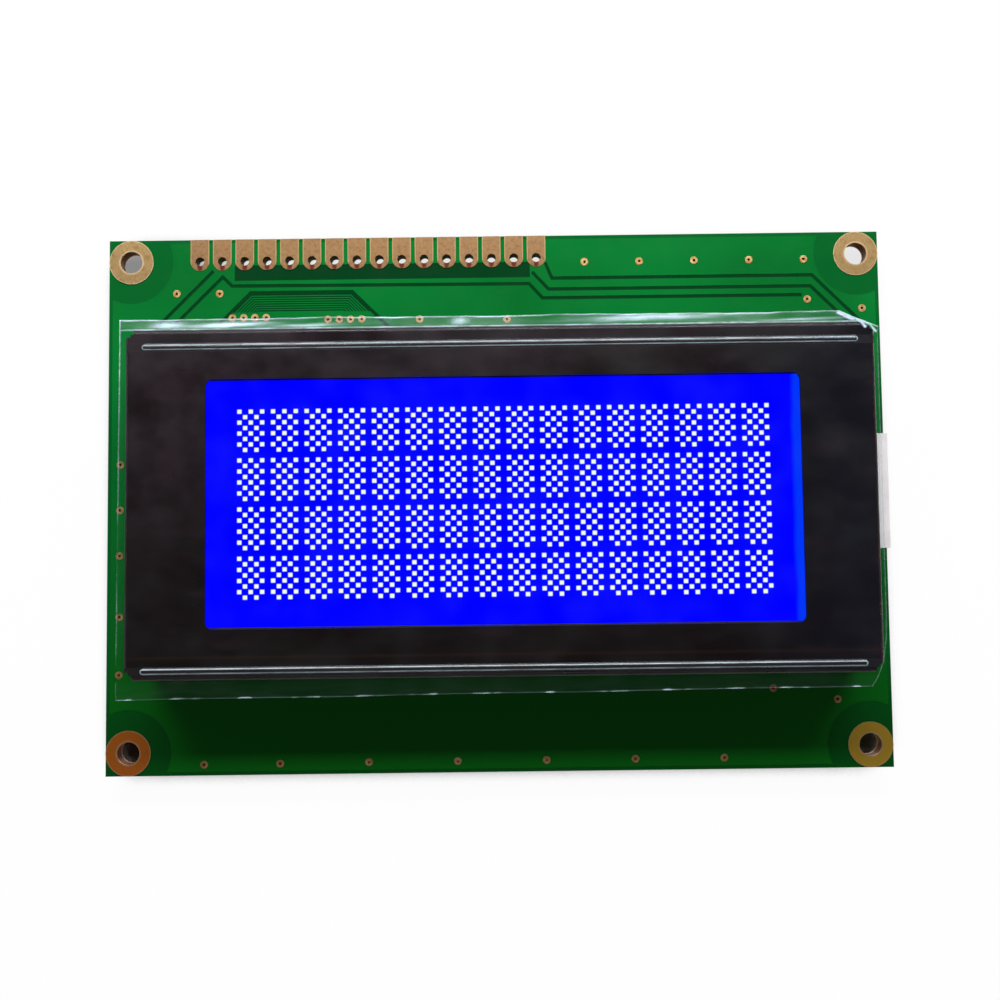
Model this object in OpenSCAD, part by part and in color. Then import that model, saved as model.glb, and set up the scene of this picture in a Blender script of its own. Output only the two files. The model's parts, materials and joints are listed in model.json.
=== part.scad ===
// Character LCD module, sixteen characters by four rows, on a bare circuit board.
// Frame: +X to the right and +Y up as the display is read, +Z out of the display.
// Origin: centre of the four mounting holes, on the front face of the board.
// Units are millimetres.

/* [Board] */
// Width of the circuit board
board_w = 87; // [84:0.5:110]
// Depth of the circuit board, top edge to bottom edge
board_d = 60; // [57:0.5:80]
// Thickness of the circuit board
board_t = 1.6; // [0.8:0.1:2.4]
// Distance from a mounting hole to the board's two nearest edges
mount_inset = 2.5; // [2.5:0.1:4]
// Diameter of a plated mounting hole
mount_hole_d = 2.5; // [2:0.1:3.2]
// Diameter of the plated ring round a mounting hole
mount_ring_d = 5; // [4:0.1:5]
// Diameter of the area without copper round a mounting hole
keepout_d = 9.5; // [7:0.1:10]
// Depth of the gaps between the copper areas
copper_t = 0.04; // [0.02:0.01:0.1]
// Width of the strip without copper along the board's edges
pour_margin = 0.4; // [0.2:0.1:0.8]
// Width of a gap between two copper tracks on the front
gap_w = 0.38; // [0.2:0.01:0.5]
// Width of a signal track on the back
track_w = 0.4; // [0.25:0.05:0.5]
// Width of the gap on each side of a signal track
track_gap = 0.2; // [0.15:0.01:0.25]

/* [Plated holes] */
// Thickness of the plating that stands on the board's faces
plate_t = 0.04; // [0.02:0.01:0.1]
// Wall of the plated barrel in a hole
barrel_t = 0.05; // [0.02:0.01:0.1]
// Number of pads in the connector row
pin_count = 16; // [14:1:16]
// Distance between two connector pads
pin_pitch = 2.54; // [2.54:0.01:2.6]
// Diameter of a connector hole
pin_hole_d = 1; // [0.8:0.05:1.1]
// Width of a connector pad
pad_w = 2.1; // [1.8:0.05:2.2]
// Distance from the board's top edge to the connector holes
pin_row_inset = 2.5; // [2:0.1:3]
// Distance from the first connector pad to the board's left edge
pin_row_start = 10.25; // [9.5:0.05:12]
// Diameter of a via's ring
via_ring_d = 0.85; // [0.6:0.05:1]
// Diameter of a via's hole
via_hole_d = 0.3; // [0.2:0.05:0.5]

/* [Bezel] */
// Width of the bezel's face
bezel_w = 78.4; // [76:0.1:80]
// Depth of the bezel's face
bezel_d = 36.6; // [36:0.1:40]
// Height of the bezel's face above the board
bezel_h = 9; // [8.5:0.1:11]
// Offset of the bezel from the board's centre, to the right
bezel_off_x = 0.6; // [0:0.1:1]
// Offset of the bezel from the board's centre, towards the connector
bezel_off_y = -0.4; // [-1:0.1:0.5]
// Thickness of the bezel's sheet metal
sheet_t = 0.35; // [0.3:0.05:0.5]
// Outer radius of the folds round the face
bend_r = 0.6; // [0.55:0.05:0.6]
// Length of the open corner between two folded walls
corner_relief = 0.9; // [0.7:0.1:1.5]
// Width of the window in the bezel
window_w = 62; // [58:0.5:64]
// Depth of the window in the bezel
window_d = 26; // [24:0.5:27]
// Corner radius of the window
window_r = 0.8; // [0.3:0.1:2]
// Offset of the window from the bezel's centre, to the right
window_off_x = 0.24; // [0:0.01:0.5]
// Offset of the window from the bezel's centre, towards the connector
window_off_y = -0.09; // [-0.5:0.01:0.5]
// Width of a stiffening bead
bead_w = 0.7; // [0.6:0.05:0.7]
// Height of a stiffening bead
bead_h = 0.2; // [0.1:0.02:0.25]
// Distance from a bead's end to the face's side edge
bead_end_gap = 1.8; // [1.5:0.1:6]
// Distance of the upper bead from the face's upper edge
upper_bead_inset = 2; // [1.2:0.1:2.5]
// Distance of the lower bead from the face's lower edge
lower_bead_inset = 1; // [1:0.1:2.5]
// Number of tabs on each long wall
tab_count = 4; // [2:1:5]
// Distance between two tabs
tab_pitch = 20; // [10:0.5:20]
// Width of a tab
tab_w = 2.4; // [1.5:0.1:4]
// Length of a tab's folded end under the board
tab_fold_l = 1.8; // [1:0.1:3]

/* [Protective film] */
// Thickness of the film
film_t = 0.08; // [0.05:0.01:0.15]
// Overhang of the film past the bezel's upper edge
film_over_top = 1.05; // [0.5:0.05:1.5]
// Overhang of the film past the bezel's lower edge
film_over_bottom = 1.7; // [0.5:0.05:2]
// Overhang of the film past the bezel's left edge
film_over_left = 0.55; // [0.2:0.05:1]
// Overhang of the film past the bezel's right edge
film_over_right = 0.25; // [0.2:0.05:1]
// Angle that the film's loose corner stands up by
film_lift = 20; // [5:1:30]

/* [Display cell] */
// Thickness of each glass plate
glass_t = 1.1; // [0.7:0.1:1.1]
// Space between the glass plates
cell_gap = 0.1; // [0.08:0.01:0.2]
// Thickness of each polarizer
polarizer_t = 0.2; // [0.1:0.05:0.3]
// Clearance between the front glass and the bezel's walls
glass_clear = 0.35; // [0.2:0.05:0.5]
// Width of the front glass's contact ledges
ledge_w = 3; // [2.9:0.1:3.5]
// Width of the edge seal between the glass plates
seal_w = 1.2; // [0.8:0.1:1.5]
// Width of the opening through which the cell was filled
port_w = 2.5; // [1.5:0.1:4]
// Distance from the front polarizer's edges to the glass that carries it
polarizer_inset = 0.5; // [0.3:0.1:0.8]

/* [Characters] */
// Number of characters in a row
char_columns = 16; // [1:1:16]
// Number of rows of characters
char_rows = 4; // [1:1:4]
// Distance between two characters in a row
char_pitch_x = 3.55; // [3.3:0.01:3.6]
// Distance between two rows of characters
char_pitch_y = 5.17; // [5:0.01:5.4]
// Distance between two dots across a character
dot_pitch_x = 0.6; // [0.55:0.01:0.62]
// Distance between two dots down a character
dot_pitch_y = 0.58; // [0.55:0.01:0.6]
// Space between two neighbouring dots
dot_space = 0.05; // [0.03:0.01:0.1]

/* [Rubber connectors] */
// Thickness of a rubber connector strip
zebra_t = 2.6; // [2:0.1:2.6]
// Distance from a strip's end to the front glass's end
zebra_end_gap = 1.25; // [0.5:0.05:3]
// Distance between two contact fingers
finger_pitch = 0.84; // [0.8:0.01:1.2]
// Width of a contact finger
finger_w = 0.5; // [0.3:0.05:0.6]
// Distance from a contact finger's end to its strip's side
finger_end_gap = 0.2; // [0.1:0.05:0.5]

/* [Backlight] */
// Thickness of the light guide
guide_t = 3; // [2.5:0.1:3.2]
// Thickness of the diffuser sheet
diffuser_t = 0.15; // [0.1:0.05:0.2]
// Thickness of the reflector sheet
reflector_t = 0.15; // [0.1:0.05:0.2]
// Wall round the light guide
rim_t = 1.2; // [1:0.1:1.5]
// Thickness of the housing's floor
floor_t = 1; // [0.8:0.1:1.2]
// Width of the end block that holds the lamps
block_w = 12.1; // [11:0.1:14]
// How far the end block stands above the lower face of the rear glass
block_rise = 0.85; // [0.5:0.05:1.2]
// How far the end block stands out of the bezel
block_proud = 1.6; // [1.5:0.1:2.5]
// Offset of the end block from the bezel's centre, towards the connector
block_off_y = 0.55; // [0:0.05:2]
// Outer wall of the end block
block_wall = 0.6; // [0.5:0.1:1]
// Side walls of the end block
block_side_wall = 0.75; // [0.5:0.05:1]
// Roof of the end block
block_roof_t = 0.8; // [0.5:0.1:1]
// Thickness of the lamp board
led_board_t = 0.6; // [0.4:0.1:0.8]
// Number of lamps
led_count = 3; // [1:1:3]
// Width, thickness and height of a lamp
led_size = [2.6, 1.2, 2.2]; // [1:0.1:3]
// Diameter of a terminal pin
terminal_d = 0.5; // [0.4:0.05:0.5]
// Distance between the two terminal pins
terminal_span = 7.62; // [5:0.01:8]

/* [Back of the board] */
// Diameter of the glob top over the controller
controller_glob_d = 13; // [11:0.5:14]
// Diameter of a glob top over a driver
driver_glob_d = 12; // [10:0.5:13]
// Height of every glob top
glob_h = 1.5; // [1.2:0.1:1.8]
// Thickness of a silicon die
die_t = 0.4; // [0.3:0.05:0.5]
// Distance between two drivers
driver_pitch = 24; // [20:0.5:26]
// Length, width and height of a small chip part
small_chip = [2, 1.25, 0.5]; // [0.5:0.05:2.2]
// Length, width and height of a large chip part
large_chip = [3.2, 1.6, 0.55]; // [0.5:0.05:3.4]
// Length of a chip part's metal ends
chip_end_l = 0.4; // [0.3:0.05:0.5]
// Number of bias resistors
bias_count = 5; // [1:1:5]
// Distance between two bias resistors
bias_pitch = 3.4; // [3.2:0.1:3.5]

/* [Hidden] */
$fn = 48;

// Clearances and cutting allowances
hole_clear = 0.01;
slot_clear = 0.15;
cutout_clear = 0.2;
sheet_clear = 0.2;
strip_clear = 0.15;
controller_clear = 0.63;
past = 1;

// Mounting holes
mount_span_w = board_w - 2 * mount_inset;
mount_span_d = board_d - 2 * mount_inset;

// Tab folds: inner radius, and how far in from the wall's outer face a folded tab reaches
tab_bend_r = 0.12;
tab_reach = sheet_t + tab_bend_r + tab_fold_l;

// Bezel, face to face
bezel_inner_z = bezel_h - sheet_t;
inner_w = bezel_w - 2 * sheet_t;
inner_d = bezel_d - 2 * sheet_t;
bezel_top = bezel_off_y + bezel_d / 2;
bezel_bottom = bezel_off_y - bezel_d / 2;

// Beads: length on the face, and the groove pressed in behind each
bead_l = bezel_w - 2 * bead_end_gap;
groove_l = bead_l - bead_w;
groove_w = 0.5 * bead_w;
groove_h = 0.6 * bead_h;

// Film, cut by hand: its four sides, and how far its corners lie from where those sides meet
film_left = -bezel_w / 2 - film_over_left;
film_right = bezel_w / 2 + film_over_right;
film_top = bezel_d / 2 + film_over_top;
film_bottom = -bezel_d / 2 - film_over_bottom;
film_low_left_step = [-0.2, -0.25];
film_low_right_steps = [[-1.6, 0.3], [-0.5, 2.7], [0, 5.8]];
// The loose corner's fold line runs between these two points
flap_start = [film_right - 5, film_top];
flap_end = [film_right, film_top - 2.6];
flap_tip_steps = [[-0.2, -1.55], [-1.3, 0]];

// Display cell, stacked down from the bezel's inner face
front_glass_top = bezel_inner_z - polarizer_t;
front_glass_bottom = front_glass_top - glass_t;
rear_glass_top = front_glass_bottom - cell_gap;
rear_glass_bottom = rear_glass_top - glass_t;
glass_w = inner_w - 2 * glass_clear;
front_glass_d = inner_d - 2 * glass_clear;
rear_glass_d = front_glass_d - 2 * ledge_w;
seal_inset = 0.4;
dot_layer_t = 0.4 * cell_gap;
plug_proud = 0.6 * glass_clear;
dot_columns = 5;
dot_rows = 8;

// Backlight, stacked down from the rear glass
rear_polarizer_bottom = rear_glass_bottom - polarizer_t;
guide_top = rear_polarizer_bottom - diffuser_t;
guide_bottom = guide_top - guide_t;
floor_top = guide_bottom - reflector_t;
housing_w = inner_w - 2 * glass_clear;
housing_d = rear_glass_d;
pocket_w = housing_w - 2 * rim_t;
pocket_d = housing_d - 2 * rim_t;
stack_w = pocket_w - 2 * sheet_clear;
stack_d = pocket_d - 2 * sheet_clear;
block_h = rear_glass_bottom + block_rise;
block_end_x = bezel_w / 2 + block_proud;
terminal_x = block_end_x - block_wall - slot_clear - terminal_d / 2;
led_board_x = terminal_x - terminal_d / 2 - led_board_t;
led_pocket_top = block_h - block_roof_t;
led_pocket_w = block_w - 2 * block_side_wall;
led_pitch = 3.2;
led_board_w = led_pocket_w - 2 * sheet_clear;
led_board_foot = 1.2;
pin_rise = 2;
pin_drop = 1;
rib_count_x = 4;
rib_count_y = 2;

// Rubber strips and their contacts
zebra_inner_y = housing_d / 2 + strip_clear;
zebra_middle_y = zebra_inner_y + zebra_t / 2;
zebra_l = glass_w - 2 * zebra_end_gap;
finger_l = zebra_t - 2 * finger_end_gap;
finger_count = floor(zebra_l / finger_pitch);

// Connector row
pin_row_x = -board_w / 2 + pin_row_start;
pin_row_y = board_d / 2 - pin_row_inset;
pin_row_end = pin_row_x + (pin_count - 1) * pin_pitch;

// Terminals' plated holes and their solder
terminal_hole_d = 0.8;
terminal_ring_d = 1.6;
solder_h = 0.8;
solder_tip_wall = 0.1;
solder_foot_inset = 0.05;

// Signal lanes on the back run down to the right at 45 degrees, so x + y is the same all along one
signal_count = 8;
first_signal = 3;
lane_pitch = 1.27;
track_head = pin_row_y - pad_w / 2 - track_gap;
lane_sum = pin_row_x + first_signal * pin_pitch + track_head - 1.21;

// A place given by its distances from two edges of the board, or from one edge and the bezel
function top_left(x, y) = [x - board_w / 2, board_d / 2 - y];
function top_right(x, y) = [board_w / 2 - x, board_d / 2 - y];
function past_pins(x, y) = [pin_row_end + x, board_d / 2 - y];
function bottom_left(x, y) = [x - board_w / 2, y - board_d / 2];
function above_bezel(x, y) = [x - board_w / 2, bezel_top + y];
function below_bezel(x, y) = [board_w / 2 - x, bezel_bottom - y];

// Vias that lie in rows: first via, step to the next, how many
upper_via_pitch = (board_w / 2 - 8.4 - pin_row_end - 5.45) / 4;
left_via_start = above_bezel(13.95, 3.1);
via_rows = [
    [past_pins(5.45, 3.05), [upper_via_pitch, 0], 5],
    [left_via_start, [lane_pitch, 0], 4],
    [[lane_sum + 2 * lane_pitch - bezel_top - 2.8, bezel_top + 2.8], [lane_pitch, 0], 4],
    [[1.4 - board_w / 2, 4.5], [0, -5.1], 3],
    [[1.4 - board_w / 2, -12.5], [0, -6.4], 2],
    [bottom_left(10.9, 1.2), [8.4, 0], 2],
    [bottom_left(29.1, 1.25), [9.8, 0], 5]
];
// Vias that stand alone
lone_vias = [
    top_left(7.65, 6.15), top_left(12.5, 6.2), above_bezel(35.1, 2.7), above_bezel(44.95, 2.6),
    top_right(8.1, 7.65), top_right(1.95, 8.75), below_bezel(13.1, 2.5), below_bezel(6, 3.8)
];
via_places = concat(
    lone_vias,
    [for (row = via_rows) for (i = [0:row[2] - 1]) row[0] + i * row[1]]
);

// Gaps that bound the supply tracks on the front, as the points along their middles
front_gaps = [
    [top_left(4.6, 10.8), top_left(11.8, 3.6)],
    [top_left(6.35, 10.8), top_left(12.85, 4.3), top_left(13.9, 5.35), past_pins(-0.85, 5.5),
     past_pins(0.65, 7.15), top_right(8.7, 7.15)],
    [past_pins(-0.5, 4.15), past_pins(1.35, 6.15), top_right(7.7, 6.15), top_right(3.35, 10.5)],
    [past_pins(1, 3.1), past_pins(1.75, 4.9), top_right(7.5, 4.9), top_right(1.9, 10.5)]
];
// Bundle of fine tracks on the front, between two groups of vias
bundle_left = 16 - board_w / 2;
bundle_right = 27.5 - board_w / 2;
bundle_top = board_d / 2 - 6.15;
bundle_lines = 9;
bundle_pitch = 0.26;
bundle_gap_w = 0.13;
bundle_foot = bundle_top - 2.25;
bundle_outer_foot = bundle_top - 4.95;
// Dark strip under the connector pads
pad_strip_low = board_d / 2 - 4.75;
pad_strip_high = board_d / 2 - 3;
pad_strip_left = pin_row_x + 3.95;
pad_strip_right = pin_row_end - 0.75;

// Parts on the back of the board
controller_place = [-8, bezel_top - tab_reach - controller_clear - controller_glob_d / 2];
driver_row_y = -7;
controller_die_size = [3.6, 3.2];
driver_die_size = [4.2, 2.4];
bias_start = [14, 12];
oscillator_place = [3.5, 16];
backlight_resistor_start = [bezel_off_x + terminal_x - 5.9, bezel_off_y + block_off_y + 8.35];
backlight_resistor_pitch = 4.2;
supply_capacitor_place = top_left(10, 8.5);
bias_capacitor_place = [14, 20];
capacitor_h = 0.9;
solder_l = 0.45;
solder_rise = 0.8;
chip_body_inset = 0.03;
chip_body_lap = 0.05;
function driver_place(i) = [bezel_off_x + (i - 1) * driver_pitch, driver_row_y];

// Tracks on the back, as the points along their middles
function dogleg(head, lead, foot) = [
    head, head - [0, lead], [foot[0], head[1] - lead - abs(foot[0] - head[0])], foot
];
function signal_track(i) =
    let (
        x = pin_row_x + (first_signal + i) * pin_pitch,
        lane = lane_sum + i * lane_pitch,
        foot_x = controller_place[0] + (i - (signal_count - 1) / 2) * lane_pitch,
        bend_y = lane - foot_x
    )
    [[x, track_head], [x, lane - x], [foot_x, bend_y],
     [foot_x, min(bend_y, controller_place[1]) - 0.8]];
left_foot = driver_place(0) + [-4.05, 4];
middle_head = controller_place + [2.2, -4.5];
middle_foot = driver_place(1) + [-4.2, 3.8];
bus_pitch = 0.9;
bus_end = driver_glob_d / 2 - 0.3;
signal_tracks = concat(
    [for (i = [0:signal_count - 1]) signal_track(i)],
    [for (i = [0:3]) let (step = [i * lane_pitch, 0])
        dogleg(left_via_start + step, 0.1, left_foot + step)],
    [for (i = [0:3]) let (step = [i, 0]) dogleg(middle_head + step, 3.8, middle_foot + step)],
    [for (driver = [0, 1], i = [-2:2])
        [driver_place(driver) + [bus_end, i * bus_pitch],
         driver_place(driver + 1) + [-bus_end, i * bus_pitch]]]
);
supply_w = 0.8;
supply_head = track_head - 0.1;
resistor_end = backlight_resistor_start - [large_chip[0] / 2, 0];
lamp_terminal = [bezel_off_x + terminal_x, bezel_off_y + block_off_y + terminal_span / 2];
supply_tracks = [
    [
        [pin_row_end, supply_head], past_pins(0, 5.4), past_pins(1.6, 7),
        [lamp_terminal[0] - 3.8, board_d / 2 - 7], [lamp_terminal[0] - 1.8, board_d / 2 - 9],
        lamp_terminal + [-1.8, 2.4], lamp_terminal + [-0.8, 1.4]
    ],
    [
        [pin_row_end - pin_pitch, supply_head], past_pins(-pin_pitch, 5.9),
        past_pins(2.5 - pin_pitch, 8.4), [resistor_end[0] - 1.6, board_d / 2 - 8.4],
        [resistor_end[0], board_d / 2 - 10], resistor_end + [0, 0.8]
    ],
    [
        resistor_end + [large_chip[0] + 0.3, -backlight_resistor_pitch],
        lamp_terminal + [-3.2, 0.34], lamp_terminal + [-1.6, -1.26],
        lamp_terminal + [-1.6, 1.4 - terminal_span], lamp_terminal + [-0.7, 0.5 - terminal_span]
    ]
];

DRIVERS = ["left", "middle", "right"];

// ---- shared forms ----

// Direction of a vector, and the direction to its left
function unit(v) = v / norm(v);
function left_of(v) = [-v[1], v[0]];

// Sideways step at point i of a path that keeps a ribbon's width through the corner
function mitre(path, i) =
    let (
        last = len(path) - 1,
        before = i == 0 ? unit(path[1] - path[0]) : unit(path[i] - path[i - 1]),
        after = i == last ? before : unit(path[i + 1] - path[i]),
        side = left_of(unit(before + after))
    )
    side / (side * left_of(before));

// Flat ribbon of even width along a path
module ribbon(path, width) {
    last = len(path) - 1;
    polygon(concat(
        [for (i = [0:last]) path[i] + mitre(path, i) * width / 2],
        [for (i = [last:-1:0]) path[i] - mitre(path, i) * width / 2]
    ));
}

// Rectangle with round corners, centred
module rounded_rectangle(w, d, r) {
    square([w - 2 * r, d], center = true);
    square([w, d - 2 * r], center = true);
    for (x = [-1, 1], y = [-1, 1]) translate([x * (w / 2 - r), y * (d / 2 - r)]) circle(r);
}

// Plate centred in X and Y, standing on z
module plate(w, d, h, z) {
    translate([-w / 2, -d / 2, z]) cube([w, d, h]);
}

module on_bezel() {
    translate([bezel_off_x, bezel_off_y, 0]) children();
}

// Plated-through hole: a barrel with a flat ring on each face of the board
module plated_hole(hole_d, ring_d) {
    barrel_r = hole_d / 2 + barrel_t;
    rotate_extrude() polygon([
        [hole_d / 2, -board_t - plate_t], [ring_d / 2, -board_t - plate_t],
        [ring_d / 2, -board_t], [barrel_r, -board_t], [barrel_r, 0],
        [ring_d / 2, 0], [ring_d / 2, plate_t], [hole_d / 2, plate_t]
    ]);
}

// Hole in the board that a plated barrel fits
module barrel_hole(hole_d) {
    translate([0, 0, -board_t - past])
        cylinder(d = hole_d + 2 * barrel_t + 2 * hole_clear, h = board_t + 2 * past);
}

module at_mounts() {
    for (x = [-1, 1], y = [-1, 1])
        translate([x * mount_span_w / 2, y * mount_span_d / 2, 0]) children();
}

module at_pins() {
    for (i = [0:pin_count - 1]) translate([pin_row_x + i * pin_pitch, pin_row_y, 0]) children();
}

module at_vias() {
    for (place = via_places) translate(place) children();
}

module at_terminal_places() {
    for (side = [-1, 1])
        translate([terminal_x, block_off_y + side * terminal_span / 2, 0]) children();
}

module at_terminals() {
    on_bezel() at_terminal_places() children();
}

module at_tabs() {
    for (i = [0:tab_count - 1])
        translate([(i - (tab_count - 1) / 2) * tab_pitch, 0, 0]) children();
}

// ---- circuit board ----

// One gap of the fine bundle: a flat top with legs at 45 degrees, inside the gap before it
module bundle_gap(i) {
    top = bundle_top - i * bundle_pitch;
    inset = i * bundle_pitch * tan(22.5);
    foot = i == 0 ? bundle_outer_foot : bundle_foot;
    drop = top - foot;
    ribbon([
        [bundle_left + inset - drop, foot], [bundle_left + inset, top],
        [bundle_right - inset, top], [bundle_right - inset + drop, foot]
    ], i == 0 ? gap_w : bundle_gap_w);
}

module cut_copper() {
    translate([0, 0, -copper_t]) linear_extrude(copper_t + past) children();
}

module cut_back_copper() {
    translate([0, 0, -board_t - past]) linear_extrude(copper_t + past) children();
}

module tracks(paths, width) {
    for (path = paths) ribbon(path, width);
}

// Board's outline less a strip along its edges
module pour_edge() {
    difference() {
        square([board_w + past, board_d + past], center = true);
        square([board_w - 2 * pour_margin, board_d - 2 * pour_margin], center = true);
    }
}

// Ring without copper round a mounting hole
module keepout_ring() {
    difference() {
        circle(d = keepout_d);
        circle(d = mount_ring_d);
    }
}

module connector_pad_outline() {
    circle(d = pad_w);
    translate([-pad_w / 2, 0]) square([pad_w, pin_row_inset]);
}

// Everything that lies between the copper areas on the front
module front_copper_gaps() {
    for (path = front_gaps) cut_copper() ribbon(path, gap_w);
    for (i = [0:bundle_lines - 1]) cut_copper() bundle_gap(i);
    at_mounts() cut_copper() keepout_ring();
    difference() {
        union() {
            cut_copper() translate([pad_strip_left, pad_strip_low])
                square([pad_strip_right - pad_strip_left, pad_strip_high - pad_strip_low]);
            cut_copper() pour_edge();
        }
        at_pins() translate([0, 0, -board_t]) linear_extrude(board_t + 2 * past)
            connector_pad_outline();
        at_mounts() translate([0, 0, -board_t]) cylinder(d = mount_ring_d, h = board_t + 2 * past);
    }
}

// Gaps along both sides of each track on the back, and round the mounting holes
module back_copper_gaps() {
    cut_back_copper() difference() {
        union() {
            tracks(signal_tracks, track_w + 2 * track_gap);
            tracks(supply_tracks, supply_w + 2 * track_gap);
        }
        tracks(signal_tracks, track_w);
        tracks(supply_tracks, supply_w);
    }
    at_mounts() cut_back_copper() keepout_ring();
}

module circuit_board() {
    slot_d = sheet_t + 2 * slot_clear;
    color("forestgreen") difference() {
        plate(board_w, board_d, board_t, -board_t);
        at_mounts() barrel_hole(mount_hole_d);
        at_pins() barrel_hole(pin_hole_d);
        at_vias() barrel_hole(via_hole_d);
        at_terminals() barrel_hole(terminal_hole_d);
        on_bezel() for (side = [-1, 1]) translate([0, side * (bezel_d - sheet_t) / 2, 0])
            at_tabs() plate(tab_w + 2 * slot_clear, slot_d, board_t + 2 * past, -board_t - past);
        front_copper_gaps();
        back_copper_gaps();
    }
}

module mounting_hole_rings() {
    color("tan") at_mounts() plated_hole(mount_hole_d, mount_ring_d);
}

// A pad runs from the board's edge to a round end under its hole
module connector_pads() {
    color("tan") at_pins() difference() {
        union() {
            plated_hole(pin_hole_d, pad_w);
            linear_extrude(plate_t) connector_pad_outline();
        }
        translate([0, 0, -past]) cylinder(d = pin_hole_d, h = 2 * past);
    }
}

module vias() {
    color("tan") at_vias() plated_hole(via_hole_d, via_ring_d);
}

module contact_fingers(side) {
    color("gold") on_bezel() for (i = [0:finger_count - 1])
        translate([(i - (finger_count - 1) / 2) * finger_pitch, side * zebra_middle_y, 0])
            plate(finger_w, finger_l, plate_t, 0);
}

module upper_contact_fingers() { contact_fingers(1); }

module lower_contact_fingers() { contact_fingers(-1); }

// ---- bezel ----

// Stiffening bead: a low round ridge with round ends, standing on z = 0
module bead(length, width, height) {
    r = (width * width / 4 + height * height) / (2 * height);
    straight = length - width;
    intersection() {
        translate([0, 0, height - r]) {
            rotate([0, 90, 0]) cylinder(r = r, h = straight, center = true);
            for (side = [-1, 1]) translate([side * straight / 2, 0, 0]) sphere(r);
        }
        plate(length + past, width + past, height + past, 0);
    }
}

module at_beads() {
    translate([0, bezel_d / 2 - upper_bead_inset, 0]) children();
    translate([0, -bezel_d / 2 + lower_bead_inset, 0]) children();
}

// Section of a folded wall: x runs outwards from the fold line, y is the height
module wall_section() {
    difference() {
        intersection() {
            circle(bend_r);
            square(bend_r);
        }
        circle(bend_r - sheet_t);
    }
    translate([bend_r - sheet_t, bend_r - bezel_h]) square([sheet_t, bezel_h - bend_r]);
}

// One folded wall of a given length, its outer face at distance out from the centre
module folded_wall(length, out) {
    translate([length / 2, out - bend_r, bezel_h - bend_r])
        rotate([90, 0, -90]) mirror([1, 0, 0]) linear_extrude(length) wall_section();
}

// A tab goes on down from its wall, through the board, and is folded in under it
module tab() {
    fold_z = -board_t;
    translate([-tab_w / 2, 0, fold_z]) cube([tab_w, sheet_t, -fold_z]);
    translate([tab_w / 2, sheet_t + tab_bend_r, fold_z]) rotate([90, 0, -90])
        linear_extrude(tab_w) difference() {
            intersection() {
                circle(tab_bend_r + sheet_t);
                translate([0, -tab_bend_r - sheet_t]) square(tab_bend_r + sheet_t);
            }
            circle(tab_bend_r);
        }
    translate([-tab_w / 2, sheet_t + tab_bend_r, fold_z - tab_bend_r - sheet_t])
        cube([tab_w, tab_fold_l, sheet_t]);
}

module bezel() {
    flat_w = bezel_w - 2 * bend_r;
    flat_d = bezel_d - 2 * bend_r;
    color([0.1, 0.09, 0.1]) on_bezel() difference() {
        union() {
            plate(flat_w, flat_d, sheet_t, bezel_inner_z);
            for (turn = [0, 180]) rotate(turn)
                folded_wall(bezel_w - 2 * corner_relief, bezel_d / 2);
            for (turn = [90, 270]) rotate(turn)
                folded_wall(bezel_d - 2 * corner_relief, bezel_w / 2);
            translate([0, 0, bezel_h]) at_beads() bead(bead_l, bead_w, bead_h);
            for (turn = [0, 180]) rotate(turn) translate([0, -bezel_d / 2, 0]) at_tabs() tab();
        }
        translate([window_off_x, window_off_y, bezel_inner_z - past])
            linear_extrude(sheet_t + 2 * past) rounded_rectangle(window_w, window_d, window_r);
        translate([0, 0, bezel_inner_z]) at_beads() bead(groove_l, groove_w, groove_h);
        translate([inner_w / 2 - past, block_off_y - block_w / 2 - cutout_clear, -past])
            cube([sheet_t + 2 * past, block_w + 2 * cutout_clear, block_h + cutout_clear + past]);
    }
}

// ---- protective film ----

module film_outline() {
    low_left = [film_left, film_bottom];
    low_right = [film_right, film_bottom];
    polygon(concat(
        [low_left + film_low_left_step],
        [for (step = film_low_right_steps) low_right + step],
        [flap_end, flap_start, [film_left, film_top]]
    ));
}

// The loose corner, lying flat before it is turned up about its fold line
module film_corner() {
    high_right = [film_right, film_top];
    polygon(concat([flap_start, flap_end], [for (step = flap_tip_steps) high_right + step]));
}

module protective_film() {
    fold = flap_end - flap_start;
    fold_turn = atan2(fold[1], fold[0]);
    color([0.85, 0.95, 0.9, 0.3]) on_bezel() translate([0, 0, bezel_h]) {
        difference() {
            union() {
                linear_extrude(film_t) film_outline();
                at_beads() bead(bead_l + 2 * film_t, bead_w + 2 * film_t, bead_h + film_t);
            }
            at_beads() bead(bead_l, bead_w, bead_h);
        }
        translate(flap_start) rotate(fold_turn) rotate([film_lift, 0, 0]) rotate(-fold_turn)
            translate(-flap_start) linear_extrude(film_t) film_corner();
    }
}

// ---- display cell ----

module front_polarizer() {
    color([0.05, 0.1, 0.8, 0.4]) on_bezel() plate(
        glass_w - 2 * polarizer_inset, rear_glass_d - 2 * polarizer_inset,
        polarizer_t, front_glass_top);
}

module front_glass() {
    color([0.8, 0.9, 0.95, 0.4]) on_bezel()
        plate(glass_w, front_glass_d, glass_t, front_glass_bottom);
}

module rear_glass() {
    color([0.8, 0.9, 0.95, 0.4]) on_bezel() plate(glass_w, rear_glass_d, glass_t, rear_glass_bottom);
}

// The seal is a frame with a gap on the left, where the cell was filled
module edge_seal() {
    outer_w = glass_w - 2 * seal_inset;
    outer_d = rear_glass_d - 2 * seal_inset;
    color("gray") on_bezel() difference() {
        plate(outer_w, outer_d, cell_gap, rear_glass_top);
        plate(outer_w - 2 * seal_w, outer_d - 2 * seal_w, cell_gap + 2 * past,
              rear_glass_top - past);
        translate([-outer_w / 2 - past, -port_w / 2, rear_glass_top - past])
            cube([seal_w + 2 * past, port_w, cell_gap + 2 * past]);
    }
}

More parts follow.
